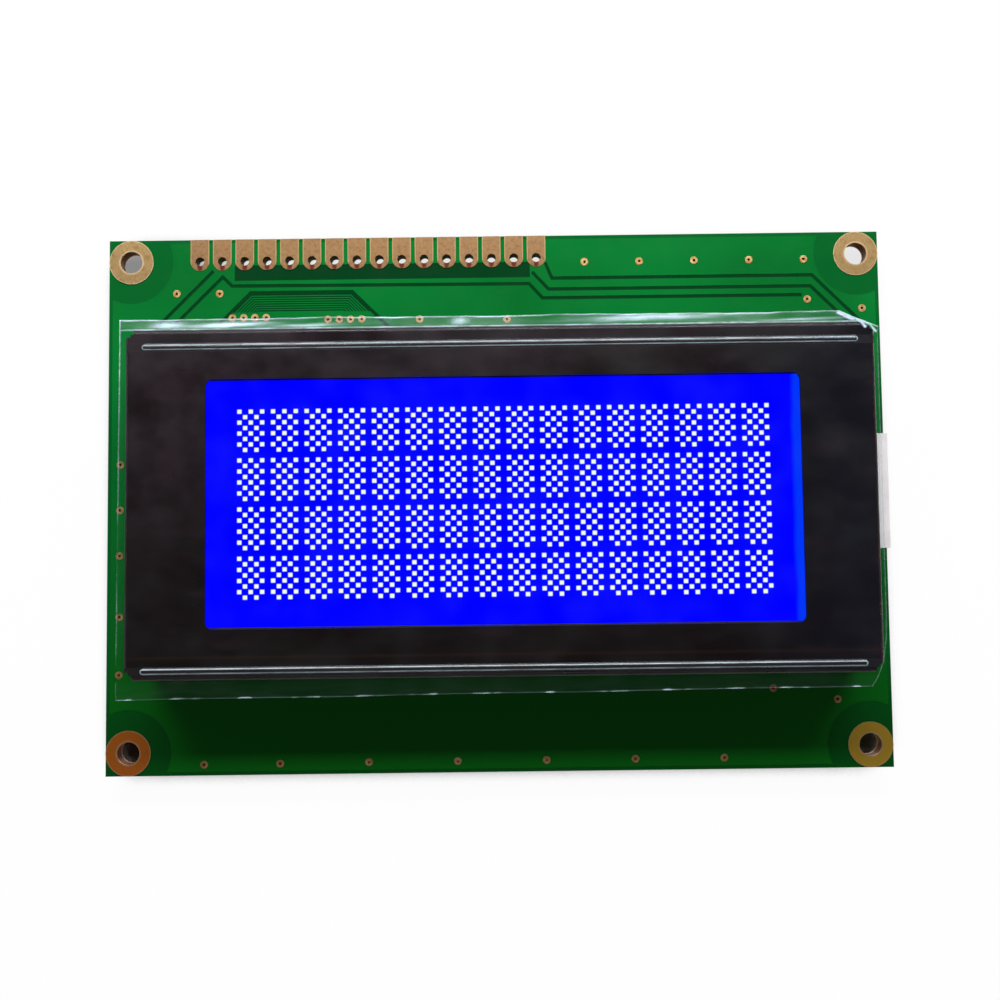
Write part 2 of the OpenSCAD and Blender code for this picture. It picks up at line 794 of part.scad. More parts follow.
// Cured resin that fills the gap in the seal and stands out of the glass edges
module fill_port_plug() {
    color("goldenrod") on_bezel() {
        translate([-glass_w / 2, -port_w / 2, rear_glass_top])
            cube([seal_inset + seal_w, port_w, cell_gap]);
        translate([-glass_w / 2 - plug_proud, -port_w / 2, rear_glass_top - glass_t / 2])
            cube([plug_proud, port_w, glass_t]);
    }
}

module liquid_crystal() {
    color([0, 0.05, 0.9]) on_bezel() plate(
        glass_w - 2 * (seal_inset + seal_w), rear_glass_d - 2 * (seal_inset + seal_w),
        cell_gap - dot_layer_t, rear_glass_top);
}

// Every second dot of every character is lit, as in a test pattern
module lit_dots() {
    dot = [dot_pitch_x - dot_space, dot_pitch_y - dot_space];
    field = [
        (char_columns - 1) * char_pitch_x + (dot_columns - 1) * dot_pitch_x,
        (char_rows - 1) * char_pitch_y + (dot_rows - 1) * dot_pitch_y
    ];
    color([1, 1, 0.8]) on_bezel()
        translate([window_off_x, window_off_y, front_glass_bottom - dot_layer_t])
        linear_extrude(dot_layer_t)
            for (c = [0:char_columns - 1], r = [0:char_rows - 1])
                for (x = [0:dot_columns - 1], y = [0:dot_rows - 1]) if ((x + y) % 2 == 0)
                    translate([
                        c * char_pitch_x + x * dot_pitch_x - field[0] / 2,
                        field[1] / 2 - r * char_pitch_y - y * dot_pitch_y
                    ]) square(dot, center = true);
}

module rear_polarizer() {
    color([0.3, 0.3, 0.4, 0.6]) on_bezel()
        plate(stack_w, stack_d, polarizer_t, rear_polarizer_bottom);
}

// ---- rubber connectors ----

module zebra_strip(side) {
    color("dimgray") on_bezel() translate([0, side * zebra_middle_y, 0])
        plate(zebra_l, zebra_t, front_glass_bottom - plate_t, plate_t);
}

module upper_zebra_strip() { zebra_strip(1); }

module lower_zebra_strip() { zebra_strip(-1); }

// ---- backlight ----

module diffuser_sheet() {
    color("white") on_bezel() plate(stack_w, stack_d, diffuser_t, guide_top);
}

module light_guide() {
    color([0.9, 0.95, 1, 0.5]) on_bezel() plate(stack_w, stack_d, guide_t, guide_bottom);
}

module reflector_sheet() {
    color("white") on_bezel() plate(stack_w, stack_d, reflector_t, floor_top);
}

// White tray with a hollow underside, and an end block that the lamps sit in
module backlight_housing() {
    block_left = housing_w / 2 - rim_t;
    cell_w = (housing_w - (rib_count_x + 1) * rim_t) / rib_count_x;
    cell_d = (housing_d - (rib_count_y + 1) * rim_t) / rib_count_y;
    color("white") on_bezel() difference() {
        union() {
            plate(housing_w, housing_d, rear_glass_bottom, 0);
            translate([block_left, block_off_y - block_w / 2, 0])
                cube([block_end_x - block_left, block_w, rear_glass_bottom]);
            translate([housing_w / 2 + sheet_clear, block_off_y - block_w / 2, 0])
                cube([block_end_x - housing_w / 2 - sheet_clear, block_w, block_h]);
        }
        plate(pocket_w, pocket_d, rear_glass_bottom, floor_top);
        for (i = [0:rib_count_x - 1], j = [0:rib_count_y - 1])
            translate([
                -housing_w / 2 + rim_t + i * (cell_w + rim_t),
                -housing_d / 2 + rim_t + j * (cell_d + rim_t), -past
            ]) cube([cell_w, cell_d, floor_top - floor_t + past]);
        translate([block_left, block_off_y - led_pocket_w / 2, -past])
            cube([block_end_x - block_wall - block_left, led_pocket_w, led_pocket_top + past]);
        at_terminal_places() translate([0, 0, -past])
            cylinder(d = terminal_ring_d + 2 * sheet_clear, h = past + plate_t + sheet_clear);
    }
}

module led_board() {
    color("ivory") on_bezel()
        translate([led_board_x, block_off_y - led_board_w / 2, led_board_foot])
            cube([led_board_t, led_board_w, led_pocket_top - sheet_clear - led_board_foot]);
}

module leds() {
    middle_z = guide_bottom + guide_t / 2;
    color("lightyellow") on_bezel() for (i = [0:led_count - 1])
        translate([
            led_board_x - led_size[1],
            block_off_y + (i - (led_count - 1) / 2) * led_pitch - led_size[0] / 2,
            middle_z - led_size[2] / 2
        ]) cube([led_size[1], led_size[0], led_size[2]]);
}

module backlight_pins() {
    pin_top = led_board_foot + pin_rise;
    pin_foot = -board_t - pin_drop;
    color("silver") at_terminals() translate([0, 0, pin_foot])
        cylinder(d = terminal_d, h = pin_top - pin_foot);
}

module backlight_pads() {
    color("tan") at_terminals() plated_hole(terminal_hole_d, terminal_ring_d);
}

// Cone of solder round each pin
module backlight_solder() {
    foot = -board_t - plate_t;
    color("silver") at_terminals() difference() {
        translate([0, 0, foot - solder_h])
            cylinder(d1 = terminal_d + 2 * solder_tip_wall,
                     d2 = terminal_ring_d - 2 * solder_foot_inset, h = solder_h);
        translate([0, 0, foot - solder_h - past])
            cylinder(d = terminal_d + 2 * hole_clear, h = solder_h + 2 * past);
    }
}

// ---- back of the board ----

// A die is bonded to the back of the board
module die(place, size) {
    color("dimgray") translate(place) plate(size[0], size[1], die_t, -board_t - die_t);
}

// A glob top is a low dome of resin that was dropped over its die and has set
module glob_top(place, d, die_size) {
    r = (d * d / 4 + glob_h * glob_h) / (2 * glob_h);
    color([0.06, 0.06, 0.06]) translate([place[0], place[1], -board_t]) difference() {
        intersection() {
            translate([0, 0, r - glob_h]) sphere(r, $fn = 96);
            plate(d + past, d + past, glob_h + past, -glob_h - past);
        }
        plate(die_size[0], die_size[1], die_t + past, -die_t);
    }
}

module controller_die() { die(controller_place, controller_die_size); }

module controller_glob_top() {
    glob_top(controller_place, controller_glob_d, controller_die_size);
}

// Chip part: a ceramic body between two metal ends
module chip(place, size, height, turn = 0) {
    body = [size[0] - 2 * chip_end_l, size[1] - 2 * chip_body_inset, height - 2 * chip_body_inset];
    translate([place[0], place[1], -board_t]) rotate(turn) {
        translate([0, 0, -chip_body_inset - body[2]])
            plate(body[0] + 2 * chip_body_lap, body[1], body[2], 0);
        for (side = [-1, 1]) translate([side * (size[0] - chip_end_l) / 2, 0, 0])
            plate(chip_end_l, size[1], height, -height);
    }
}

// Solder at both ends of a chip part, sloping from the end down to the board
module chip_ends_solder(place, size, turn = 0) {
    rise = size[2] * solder_rise;
    translate([place[0], place[1], -board_t]) rotate(turn) for (side = [0, 180])
        rotate(side) translate([size[0] / 2, size[1] / 2, 0]) rotate([90, 0, 0])
            linear_extrude(size[1]) polygon([[0, 0], [solder_l, 0], [0, -rise]]);
}

function bias_place(i) = bias_start + [(i - 1) * bias_pitch, 0];
function backlight_resistor_place(i) =
    backlight_resistor_start - [0, (i - 1) * backlight_resistor_pitch];

module bias_resistor(i) {
    color("black") chip(bias_place(i), small_chip, small_chip[2], 90);
}

module backlight_resistor(i) {
    color("black") chip(backlight_resistor_place(i), large_chip, large_chip[2]);
}

module oscillator_resistor() {
    color("black") chip(oscillator_place, small_chip, small_chip[2]);
}

module supply_capacitor() {
    color("peru") chip(supply_capacitor_place, small_chip, capacitor_h);
}

module bias_capacitor() {
    color("peru") chip(bias_capacitor_place, small_chip, capacitor_h);
}

module chip_solder() {
    color("silver") {
        for (i = [1:bias_count]) chip_ends_solder(bias_place(i), small_chip, 90);
        for (i = [1:2]) chip_ends_solder(backlight_resistor_place(i), large_chip);
        for (place = [oscillator_place, supply_capacitor_place, bias_capacitor_place])
            chip_ends_solder(place, small_chip);
    }
}

circuit_board();
mounting_hole_rings();
connector_pads();
vias();
upper_contact_fingers();
lower_contact_fingers();
bezel();
protective_film();
front_polarizer();
front_glass();
edge_seal();
fill_port_plug();
liquid_crystal();
lit_dots();
rear_glass();
rear_polarizer();
upper_zebra_strip();
lower_zebra_strip();
diffuser_sheet();
light_guide();
reflector_sheet();
backlight_housing();
led_board();
leds();
backlight_pins();
backlight_pads();
backlight_solder();
controller_die();
controller_glob_top();
oscillator_resistor();
supply_capacitor();
bias_capacitor();
chip_solder();
for (i = [0:len(DRIVERS) - 1]) {
    die(driver_place(i), driver_die_size);
    glob_top(driver_place(i), driver_glob_d, driver_die_size);
}
for (i = [1:bias_count]) bias_resistor(i);
for (i = [1:2]) backlight_resistor(i);
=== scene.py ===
import json
import math

import bpy
import numpy as np
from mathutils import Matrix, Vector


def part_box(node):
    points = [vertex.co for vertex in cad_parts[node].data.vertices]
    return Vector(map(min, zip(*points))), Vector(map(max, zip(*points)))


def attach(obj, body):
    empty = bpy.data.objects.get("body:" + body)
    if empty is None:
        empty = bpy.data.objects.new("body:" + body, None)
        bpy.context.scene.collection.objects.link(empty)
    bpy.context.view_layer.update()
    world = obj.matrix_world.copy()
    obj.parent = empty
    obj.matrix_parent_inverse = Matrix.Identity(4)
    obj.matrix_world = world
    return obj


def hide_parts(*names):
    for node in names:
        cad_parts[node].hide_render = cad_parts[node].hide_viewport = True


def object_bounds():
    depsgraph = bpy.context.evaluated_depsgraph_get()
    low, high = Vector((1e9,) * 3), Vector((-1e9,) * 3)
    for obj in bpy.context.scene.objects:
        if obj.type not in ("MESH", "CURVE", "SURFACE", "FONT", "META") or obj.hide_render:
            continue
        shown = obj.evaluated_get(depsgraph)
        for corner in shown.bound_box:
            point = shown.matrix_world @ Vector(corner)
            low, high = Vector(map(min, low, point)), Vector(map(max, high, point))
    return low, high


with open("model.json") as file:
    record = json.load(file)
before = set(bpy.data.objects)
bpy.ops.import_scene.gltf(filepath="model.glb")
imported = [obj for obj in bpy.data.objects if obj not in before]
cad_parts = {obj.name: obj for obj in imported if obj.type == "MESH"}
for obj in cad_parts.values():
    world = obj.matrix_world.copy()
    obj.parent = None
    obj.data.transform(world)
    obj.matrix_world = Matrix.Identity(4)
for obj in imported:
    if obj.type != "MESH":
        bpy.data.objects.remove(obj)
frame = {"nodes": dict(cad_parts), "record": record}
cad_low, cad_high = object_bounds()
mounts = {mount["name"]: mount for mount in frame["record"]["mounts"]}

# Circuit board: glass cloth and epoxy laminate with copper on both faces, under green solder mask.
# The mask is printed over etched copper, so areas with copper below look lighter than the gaps.
# Its sawn edges and slots show the bare yellowish laminate, in fine layers of cloth.
# Toward the lower edge, and round the lower mounting holes, the mask is darker and yellower as painted
# shade.
mm = 0.001
mask_on_copper = (0.0022, 0.175, 0.028, 1)
mask_shade = (0.0018, 0.135, 0.020, 1)
mask_in_gap = (0.0012, 0.044, 0.0105, 1)
mask_round_mounts = (0.0016, 0.108, 0.018, 1)
mask_painted_shade_lower = (0.0026, 0.108, 0.007, 1)
mask_mounts_painted_shade = (0.0014, 0.065, 0.007, 1)
laminate = (0.42, 0.38, 0.15, 1)
laminate_cloth = (0.56, 0.53, 0.30, 1)
gap_depth = 0.02
edge_depth = 0.06
mount_halo = 5
side_margin = 0.6
cloth_layer = 0.2
weave_x, weave_y = 0.5, 0.45


def start_finish(name, **values):
    """A node material with one main shader; values go on the shader's own sockets."""
    finish = bpy.data.materials.new(name)
    finish.use_nodes = True
    tree = finish.node_tree
    shader = tree.nodes["Principled BSDF"]
    for socket, value in values.items():
        shader.inputs[socket.replace("_", " ")].default_value = value
    return finish, tree, shader


def feed(tree, socket, value):
    """Links another node's output to a socket, or sets the socket's own value."""
    if isinstance(value, bpy.types.NodeSocket):
        tree.links.new(value, socket)
    else:
        socket.default_value = value


def calc(tree, operation, *values):
    """A Math node's result; each value is a number or another node's output."""
    node = tree.nodes.new("ShaderNodeMath")
    node.operation = operation
    for socket, value in zip(node.inputs, values):
        feed(tree, socket, value)
    return node.outputs[0]


def apart(tree, value, middle):
    """How far a value is from a middle, to either side."""
    return calc(tree, "ABSOLUTE", calc(tree, "SUBTRACT", value, middle))


def long_side(tree, first, second):
    """The long side of a right triangle with these two short sides."""
    squares = calc(tree, "ADD", calc(tree, "POWER", first, 2), calc(tree, "POWER", second, 2))
    return calc(tree, "SQRT", squares)


def place_in_mm(tree):
    """Object coordinates in millimetres: the vector and its three parts."""
    coordinates = tree.nodes.new("ShaderNodeTexCoord")
    scale = tree.nodes.new("ShaderNodeVectorMath")
    scale.operation = "SCALE"
    tree.links.new(coordinates.outputs["Object"], scale.inputs[0])
    scale.inputs["Scale"].default_value = 1 / mm
    parts = tree.nodes.new("ShaderNodeSeparateXYZ")
    tree.links.new(scale.outputs[0], parts.inputs[0])
    return scale.outputs[0], *parts.outputs[:3]


def cloud(tree, place, size, detail=3.0, stretch=(1, 1, 1)):
    """Soft noise between 0 and 1 whose patches are about size millimetres across."""
    mapping = tree.nodes.new("ShaderNodeMapping")
    mapping.inputs["Scale"].default_value = stretch
    tree.links.new(place, mapping.inputs[0])
    noise = tree.nodes.new("ShaderNodeTexNoise")
    noise.inputs["Scale"].default_value = 1 / size
    noise.inputs["Detail"].default_value = detail
    tree.links.new(mapping.outputs[0], noise.inputs["Vector"])
    return noise.outputs[0]


def fade(tree, value, start, end, low=0.0, high=1.0):
    """A value that goes smoothly from low at start to high at end, and stays there."""
    node = tree.nodes.new("ShaderNodeMapRange")
    node.interpolation_type = "SMOOTHSTEP"
    for socket, number in zip(node.inputs, (value, start, end, low, high)):
        feed(tree, socket, number)
    return node.outputs[0]


def between(tree, factor, first, second):
    """The first colour where factor is 0 and the second where it is 1."""
    node = tree.nodes.new("ShaderNodeMix")
    node.data_type = "RGBA"
    feed(tree, node.inputs[0], factor)
    feed(tree, node.inputs[6], first)
    feed(tree, node.inputs[7], second)
    return node.outputs[2]


def relief(tree, shader, height, distance, strength=1.0):
    """Bump on the shader: height from 0 to 1 stands distance millimetres high."""
    node = tree.nodes.new("ShaderNodeBump")
    node.inputs["Strength"].default_value = strength
    node.inputs["Distance"].default_value = distance * mm
    tree.links.new(height, node.inputs["Height"])
    tree.links.new(node.outputs[0], shader.inputs["Normal"])


def put_on(finish, *names):
    """Gives a finish to carried-over nodes."""
    for name in names:
        for slot in frame["nodes"][name].material_slots:
            slot.material = finish


board_low, board_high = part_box("circuit_board")
front_z, back_z = board_high.z / mm, board_low.z / mm
hole_x, hole_y = (mounts["mounting_holes"]["dims"][f"spacing_{axis}_mm"] / 2 for axis in "xy")


def board_depth(tree, z):
    """Depth in millimetres below the nearer face of the board."""
    return calc(tree, "MINIMUM", calc(tree, "SUBTRACT", front_z, z), calc(tree, "SUBTRACT", z, back_z))


def to_side(tree, value, limit):
    """How far a value is inside a limit that is the same to both sides of the middle."""
    return calc(tree, "SUBTRACT", limit, calc(tree, "ABSOLUTE", value))


def to_mount(tree, x, y):
    """Distance in millimetres from the middle of the nearest mounting hole."""
    beside, beyond = (calc(tree, "SUBTRACT", calc(tree, "ABSOLUTE", value), hole)
                      for value, hole in ((x, hole_x), (y, hole_y)))
    return long_side(tree, beside, beyond)


board_finish, tree, shader = start_finish("solder_mask", Roughness=0.3)
place, x, y, z = place_in_mm(tree)
depth = board_depth(tree, z)
in_gap = calc(tree, "GREATER_THAN", depth, gap_depth)
on_edge = calc(tree, "GREATER_THAN", depth, edge_depth)
copper = between(tree, fade(tree, cloud(tree, place, 16, 2), 0.3, 0.7), mask_on_copper, mask_shade)
copper = between(tree, fade(tree, cloud(tree, place, 0.5, 2), 0.3, 0.75, 0, 0.15), copper, mask_on_copper)
# painted shade: the mask turns darker and yellower toward the lower edge, where the bezel shades the board
copper = between(tree, fade(tree, y, 4, -24), copper, mask_painted_shade_lower)
from_hole = to_mount(tree, x, y)
from_side = calc(tree, "MINIMUM", to_side(tree, x, board_high.x / mm), to_side(tree, y, board_high.y / mm))
lighter = calc(tree, "MAXIMUM", calc(tree, "LESS_THAN", from_hole, mount_halo),
               calc(tree, "LESS_THAN", from_side, side_margin))
# painted shade: the bare rounds about the lower mounting holes are darker
round_mounts = between(tree, fade(tree, y, -14, -26), mask_round_mounts, mask_mounts_painted_shade)
gap = between(tree, lighter, mask_in_gap, round_mounts)
layer = calc(tree, "SINE", calc(tree, "MULTIPLY", z, 2 * math.pi / cloth_layer))
layer = calc(tree, "ADD", calc(tree, "MULTIPLY", layer, 0.5), cloud(tree, place, 0.4, 3, (1, 1, 0.2)))
cut = between(tree, fade(tree, layer, 0.1, 1.0), laminate, laminate_cloth)
colour = between(tree, on_edge, between(tree, in_gap, copper, gap), cut)
tree.links.new(colour, shader.inputs["Base Color"])
weave = calc(tree, "MULTIPLY", calc(tree, "SINE", calc(tree, "MULTIPLY", x, 2 * math.pi / weave_x)),
             calc(tree, "SINE", calc(tree, "MULTIPLY", y, 2 * math.pi / weave_y)))
ripple = calc(tree, "ADD", calc(tree, "MULTIPLY", weave, 0.03), cloud(tree, place, 0.8, 3))
relief(tree, shader, ripple, 0.008)
shader.inputs["Specular IOR Level"].default_value = 0.4
gloss = calc(tree, "ADD", calc(tree, "MULTIPLY", on_edge, 0.5),
             fade(tree, cloud(tree, place, 3), 0.3, 0.7, 0.12, 0.18))
tree.links.new(gloss, shader.inputs["Roughness"])
put_on(board_finish, "circuit_board")

# Plated copper: gold over the faces of the mounting rings, connector pads, vias and contact fingers.
# The thin flash is tarnished in spots, and a painted highlight runs round the rings' edges; inside the
# barrels and below the pins it is darker copper, darkened further as painted shade. Toward the lower edge
# the plating is painted a warmer tone, copper-orange at the lower left, as painted shade.
# The mill's rolling marks run along the pads.
gold = (0.33, 0.205, 0.075, 1)
gold_pale = (0.44, 0.30, 0.145, 1)
gold_dull = (0.22, 0.125, 0.042, 1)
gold_lower_painted_tone = (0.88, 0.54, 0.04, 1)
copper_orange_painted_shade = (0.76, 0.21, 0.027, 1)
barrel_copper_and_shade = (0.12, 0.035, 0.014, 1)
gold_painted_highlight = (0.68, 0.5, 0.28, 1)
ring_r, hole_r = 2.5, mounts["mounting_holes"]["dims"]["hole_r_mm"]
plating, tree, shader = start_finish("gold_flash", Metallic=0.85, Roughness=0.4)
place, x, y, z = place_in_mm(tree)
brushed = cloud(tree, place, 0.25, 4, (6, 0.6, 1))
spots = cloud(tree, place, 0.9, 4)
colour = between(tree, fade(tree, brushed, 0.35, 0.7), gold, gold_pale)
colour = between(tree, fade(tree, spots, 0.5, 0.7, 0, 0.5), colour, gold_dull)
# painted shade: the plating takes a warmer, yellower tone toward the lower edge
colour = between(tree, fade(tree, y, -10, -25, 0, 0.8), colour, gold_lower_painted_tone)
# painted shade: the plating turns copper-orange toward the lower left
lower_left = calc(tree, "MULTIPLY", fade(tree, y, -15, -25), fade(tree, x, -10, -35))
colour = between(tree, lower_left, colour, copper_orange_painted_shade)
from_hole = to_mount(tree, x, y)
# painted highlight round the mounting rings' hole and outer edge
ring_edge_highlight = calc(tree, "MAXIMUM", fade(tree, from_hole, hole_r + 0.22, hole_r + 0.06),
              fade(tree, apart(tree, from_hole, ring_r), 0.14, 0.04))
ring_edge_highlight = calc(tree, "MULTIPLY", ring_edge_highlight, calc(tree, "LESS_THAN", from_hole, ring_r + 0.1))
colour = between(tree, calc(tree, "MULTIPLY", ring_edge_highlight, 0.7), colour, gold_painted_highlight)
depth = board_depth(tree, z)
# copper in the barrels, made much darker as painted shade in the holes
colour = between(tree, fade(tree, depth, 0.0, 0.25), colour, barrel_copper_and_shade)
tree.links.new(colour, shader.inputs["Base Color"])
tree.links.new(fade(tree, brushed, 0.3, 0.7, 0.34, 0.5), shader.inputs["Roughness"])
relief(tree, shader, brushed, 0.01)
put_on(plating, "mounting_hole_rings", "upper_contact_fingers", "lower_contact_fingers", "backlight_pads")

via_tan = (0.58, 0.40, 0.18, 1)
via_dull = (0.44, 0.22, 0.07, 1)
via_barrel = (0.5, 0.10, 0.04, 1)
via_finish, tree, shader = start_finish("via_gold", Metallic=0.8, Roughness=0.45)
place, x, y, z = place_in_mm(tree)
colour = between(tree, fade(tree, cloud(tree, place, 0.5, 3), 0.35, 0.65), via_tan, via_dull)
depth = board_depth(tree, z)
tree.links.new(between(tree, fade(tree, depth, 0.0, 0.1), colour, via_barrel), shader.inputs["Base Color"])
relief(tree, shader, cloud(tree, place, 0.2, 2), 0.005)
put_on(via_finish, "vias")

# Connector pads: the same gold, with a painted highlight down each long side.
# A red-brown blot runs down from each hole toward the board's middle.
pin_ends = mounts["pin_row_ends"]
pin_pitch = 2.54
pin_span = pin_ends["dims"]["spacing_x_mm"]
first_pin = pin_ends["pos_m"][0] / mm - pin_span / 2
pin_y = pin_ends["pos_m"][1] / mm
red_brown_blot = (0.11, 0.022, 0.012, 1)
pad_gold = (0.235, 0.128, 0.05, 1)
pad_pale = (0.32, 0.19, 0.09, 1)
pad_dull = (0.185, 0.08, 0.034, 1)
pad_half = 1.05
stain_below, stain_narrow = 0.62, 1.7
pad_finish, tree, shader = start_finish("connector_gold", Metallic=0.8, Roughness=0.42)
place, x, y, z = place_in_mm(tree)
brushed = cloud(tree, place, 0.22, 4, (7, 0.5, 1))
spots = cloud(tree, place, 0.35, 4)
across = calc(tree, "DIVIDE", calc(tree, "SUBTRACT", x, first_pin - pin_pitch / 2), pin_pitch)
across = calc(tree, "MULTIPLY", calc(tree, "SUBTRACT", calc(tree, "FRACT", across), 0.5), pin_pitch)
along = calc(tree, "SUBTRACT", y, pin_y)
colour = between(tree, fade(tree, brushed, 0.3, 0.7), pad_gold, pad_pale)
colour = between(tree, fade(tree, spots, 0.45, 0.7, 0, 0.5), colour, pad_dull)
# painted highlight down each pad's long sides
rim = fade(tree, calc(tree, "ABSOLUTE", across), pad_half - 0.16, pad_half - 0.04, 0, 0.8)
colour = between(tree, rim, colour, gold_pale)
radius = long_side(tree, calc(tree, "MULTIPLY", across, stain_narrow), calc(tree, "ADD", along, stain_below))
blot = fade(tree, calc(tree, "ADD", radius, calc(tree, "MULTIPLY", spots, 0.4)), 0.85, 0.5)
colour = between(tree, blot, colour, red_brown_blot)
depth = board_depth(tree, z)
# copper in the barrels, made much darker as painted shade in the holes
colour = between(tree, fade(tree, depth, 0.0, 0.3), colour, barrel_copper_and_shade)
tree.links.new(colour, shader.inputs["Base Color"])
tree.links.new(fade(tree, brushed, 0.3, 0.7, 0.36, 0.52), shader.inputs["Roughness"])
relief(tree, shader, brushed, 0.004)
put_on(pad_finish, "connector_pads")

# Chips on the back: a controller and three driver dies, glued and wire bonded, each under a drop of
# black epoxy that was poured by hand and set glossy, so no two drops are quite round.
resin = (0.012, 0.012, 0.013, 1)
resin_dust = (0.024, 0.023, 0.025, 1)
resin_finish, tree, shader = start_finish("glob_epoxy", Roughness=0.25, Base_Color=resin)
place = place_in_mm(tree)[0]
dust = fade(tree, cloud(tree, place, 0.6, 5), 0.55, 0.75)
tree.links.new(between(tree, dust, resin, resin_dust), shader.inputs["Base Color"])
tree.links.new(fade(tree, cloud(tree, place, 2.5), 0.3, 0.7, 0.16, 0.4), shader.inputs["Roughness"])
relief(tree, shader, cloud(tree, place, 0.7, 4), 0.03)


def new_piece(name, corners, faces, finish, slot, *replaced):
    """A smooth mesh piece from an array of corners and one of faces, riding on the module."""
    mesh = bpy.data.meshes.new(name)
    mesh.from_pydata(corners.reshape(-1, 3).tolist(), [], faces)
    mesh.polygons.foreach_set("use_smooth", np.full(len(mesh.polygons), True))
    mesh.materials.append(finish)
    mesh.update()
    piece = bpy.data.objects.new(name, mesh)
    bpy.context.scene.collection.objects.link(piece)
    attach(piece, "root")
    if replaced:
        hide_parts(*replaced)
    return piece


def grid_faces(rows, columns, closed_rows=False):
    """Four-sided faces between neighbouring rows and columns; closed_rows joins last column and first."""
    last = columns if closed_rows else columns - 1
    row, column = np.meshgrid(np.arange(rows - 1), np.arange(last), indexing="ij")
    after = (column + 1) % columns
    low, high = row * columns, (row + 1) * columns
    return np.stack([low + column, low + after, high + after, high + column], -1).reshape(-1, 4)


def glob_top(name, seed):
    """A poured drop, as a profile turned about its middle. The profile runs from the middle of the flat side
    out to the rim and back over the crown, where out = sin(t), with t from a right angle to almost 0, and
    down = (1 - out^2.6) ^ 0.62.
    The rim's radius is less than the node's by up to a twentieth, in three slow waves round the drop."""
    low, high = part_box(name)
    rows, flat_rows, columns = 26, 6, 96
    nearest = 0.02
    middle = (low + high) / 2
    radius = (high.x - low.x) / 2
    turn = np.linspace(0, 2 * math.pi, columns, endpoint=False)
    shift = np.random.default_rng(seed).uniform(0, 2 * math.pi, 3)
    waves = sum(np.sin(count * turn + start) / count for count, start in zip((2, 3, 5), shift))
    rim = radius * (0.975 + 0.025 * waves / np.abs(waves).max())
    crown = np.sin(np.linspace(math.pi / 2, nearest, rows - flat_rows))
    out = np.concatenate([np.linspace(nearest, 1, flat_rows), crown])
    down = np.concatenate([np.zeros(flat_rows), (1 - crown ** 2.6).clip(0) ** 0.62])
    corners = np.empty((rows, columns, 3))
    corners[..., 0] = middle.x + out[:, None] * (rim * np.cos(turn))
    corners[..., 1] = middle.y + out[:, None] * (rim * np.sin(turn))
    corners[..., 2] = high.z - (high.z - low.z) * down[:, None]
    poles = np.array([[middle.x, middle.y, high.z], [middle.x, middle.y, low.z]])
    corners = np.concatenate([corners.reshape(-1, 3), poles])
    faces = grid_faces(rows, columns, True)[:, ::-1].tolist()
    first, last = rows * columns, rows * columns + 1
    ring = np.arange(columns)
    after = (ring + 1) % columns
    faces += np.stack([ring, np.full(columns, first), after], -1).tolist()
    end = (rows - 1) * columns
    faces += np.stack([np.full(columns, last), end + after, end + ring], -1).tolist()
    return new_piece("poured_" + name, corners, faces, resin_finish, "glob_resin", name)


for seed, name in enumerate(("controller_glob_top", "driver_glob_top_left", "driver_glob_top_middle",
                             "driver_glob_top_right"), 3):
    glob_top(name, seed)

die_face = (0.18, 0.2, 0.26, 1)
die_pattern = (0.32, 0.3, 0.36, 1)
die_finish, tree, shader = start_finish("silicon_die", Metallic=0.6, Roughness=0.2)
place = place_in_mm(tree)[0]
cells = calc(tree, "GREATER_THAN", cloud(tree, place, 0.12, 0, (1, 1, 0)), 0.5)
tree.links.new(between(tree, cells, die_face, die_pattern), shader.inputs["Base Color"])
put_on(die_finish, "controller_die", "driver_die_left", "driver_die_middle", "driver_die_right")

# Resistors and capacitors: small ceramic chips, black glass over the resistors' bodies and bare
# sandy ceramic on the capacitors, with tinned caps at both ends, set in solder on the back.
tin = (0.62, 0.62, 0.63, 1)
tin_dull = (0.38, 0.38, 0.40, 1)
black_glass = (0.012, 0.012, 0.015, 1)
black_glass_pale = (0.03, 0.03, 0.034, 1)
ceramic = (0.42, 0.27, 0.15, 1)
ceramic_pale = (0.5, 0.35, 0.2, 1)
cap_length = 0.32


def chip_finish(name, body, body_mottle, gloss, node):
    """Body colour in the middle of the chip and tin at the two ends of its longer side."""
    low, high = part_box(node)
    size = high - low
    long_axis = 1 if size.x > size.y else 2
    finish, tree, shader = start_finish(name, Roughness=gloss)
    place_and_parts = place_in_mm(tree)
    place = place_and_parts[0]
    middle = (low[long_axis - 1] + high[long_axis - 1]) / 2 / mm
    half = max(size.x, size.y) / 2 / mm
    from_middle = apart(tree, place_and_parts[long_axis], middle)
    cap = calc(tree, "GREATER_THAN", from_middle, half - cap_length)
    grain = cloud(tree, place, 0.15, 3)
    colour = between(tree, fade(tree, grain, 0.3, 0.7), body, body_mottle)
    metal = between(tree, fade(tree, cloud(tree, place, 0.3, 3), 0.35, 0.65), tin, tin_dull)
    tree.links.new(between(tree, cap, colour, metal), shader.inputs["Base Color"])
    tree.links.new(cap, shader.inputs["Metallic"])
    relief(tree, shader, grain, 0.01)
    put_on(finish, node)


for kind, count in (("bias", 5), ("backlight", 2)):
    for number in range(1, count + 1):
        chip_finish(f"{kind}_chip_{number}", black_glass, black_glass_pale, 0.3, f"{kind}_resistor_{number}")
chip_finish("oscillator_chip", black_glass, black_glass_pale, 0.3, "oscillator_resistor")
for kind in ("bias", "supply"):
    chip_finish(f"{kind}_ceramic", ceramic, ceramic_pale, 0.45, f"{kind}_capacitor")

solder_finish, tree, shader = start_finish("solder_fillet", Metallic=1.0, Roughness=0.3)
place = place_in_mm(tree)[0]
grain = cloud(tree, place, 0.35, 4)
tree.links.new(between(tree, fade(tree, grain, 0.3, 0.7), tin, tin_dull), shader.inputs["Base Color"])
tree.links.new(fade(tree, grain, 0.3, 0.7, 0.22, 0.42), shader.inputs["Roughness"])
relief(tree, shader, grain, 0.03)
put_on(solder_finish, "chip_solder", "backlight_solder", "backlight_pins")

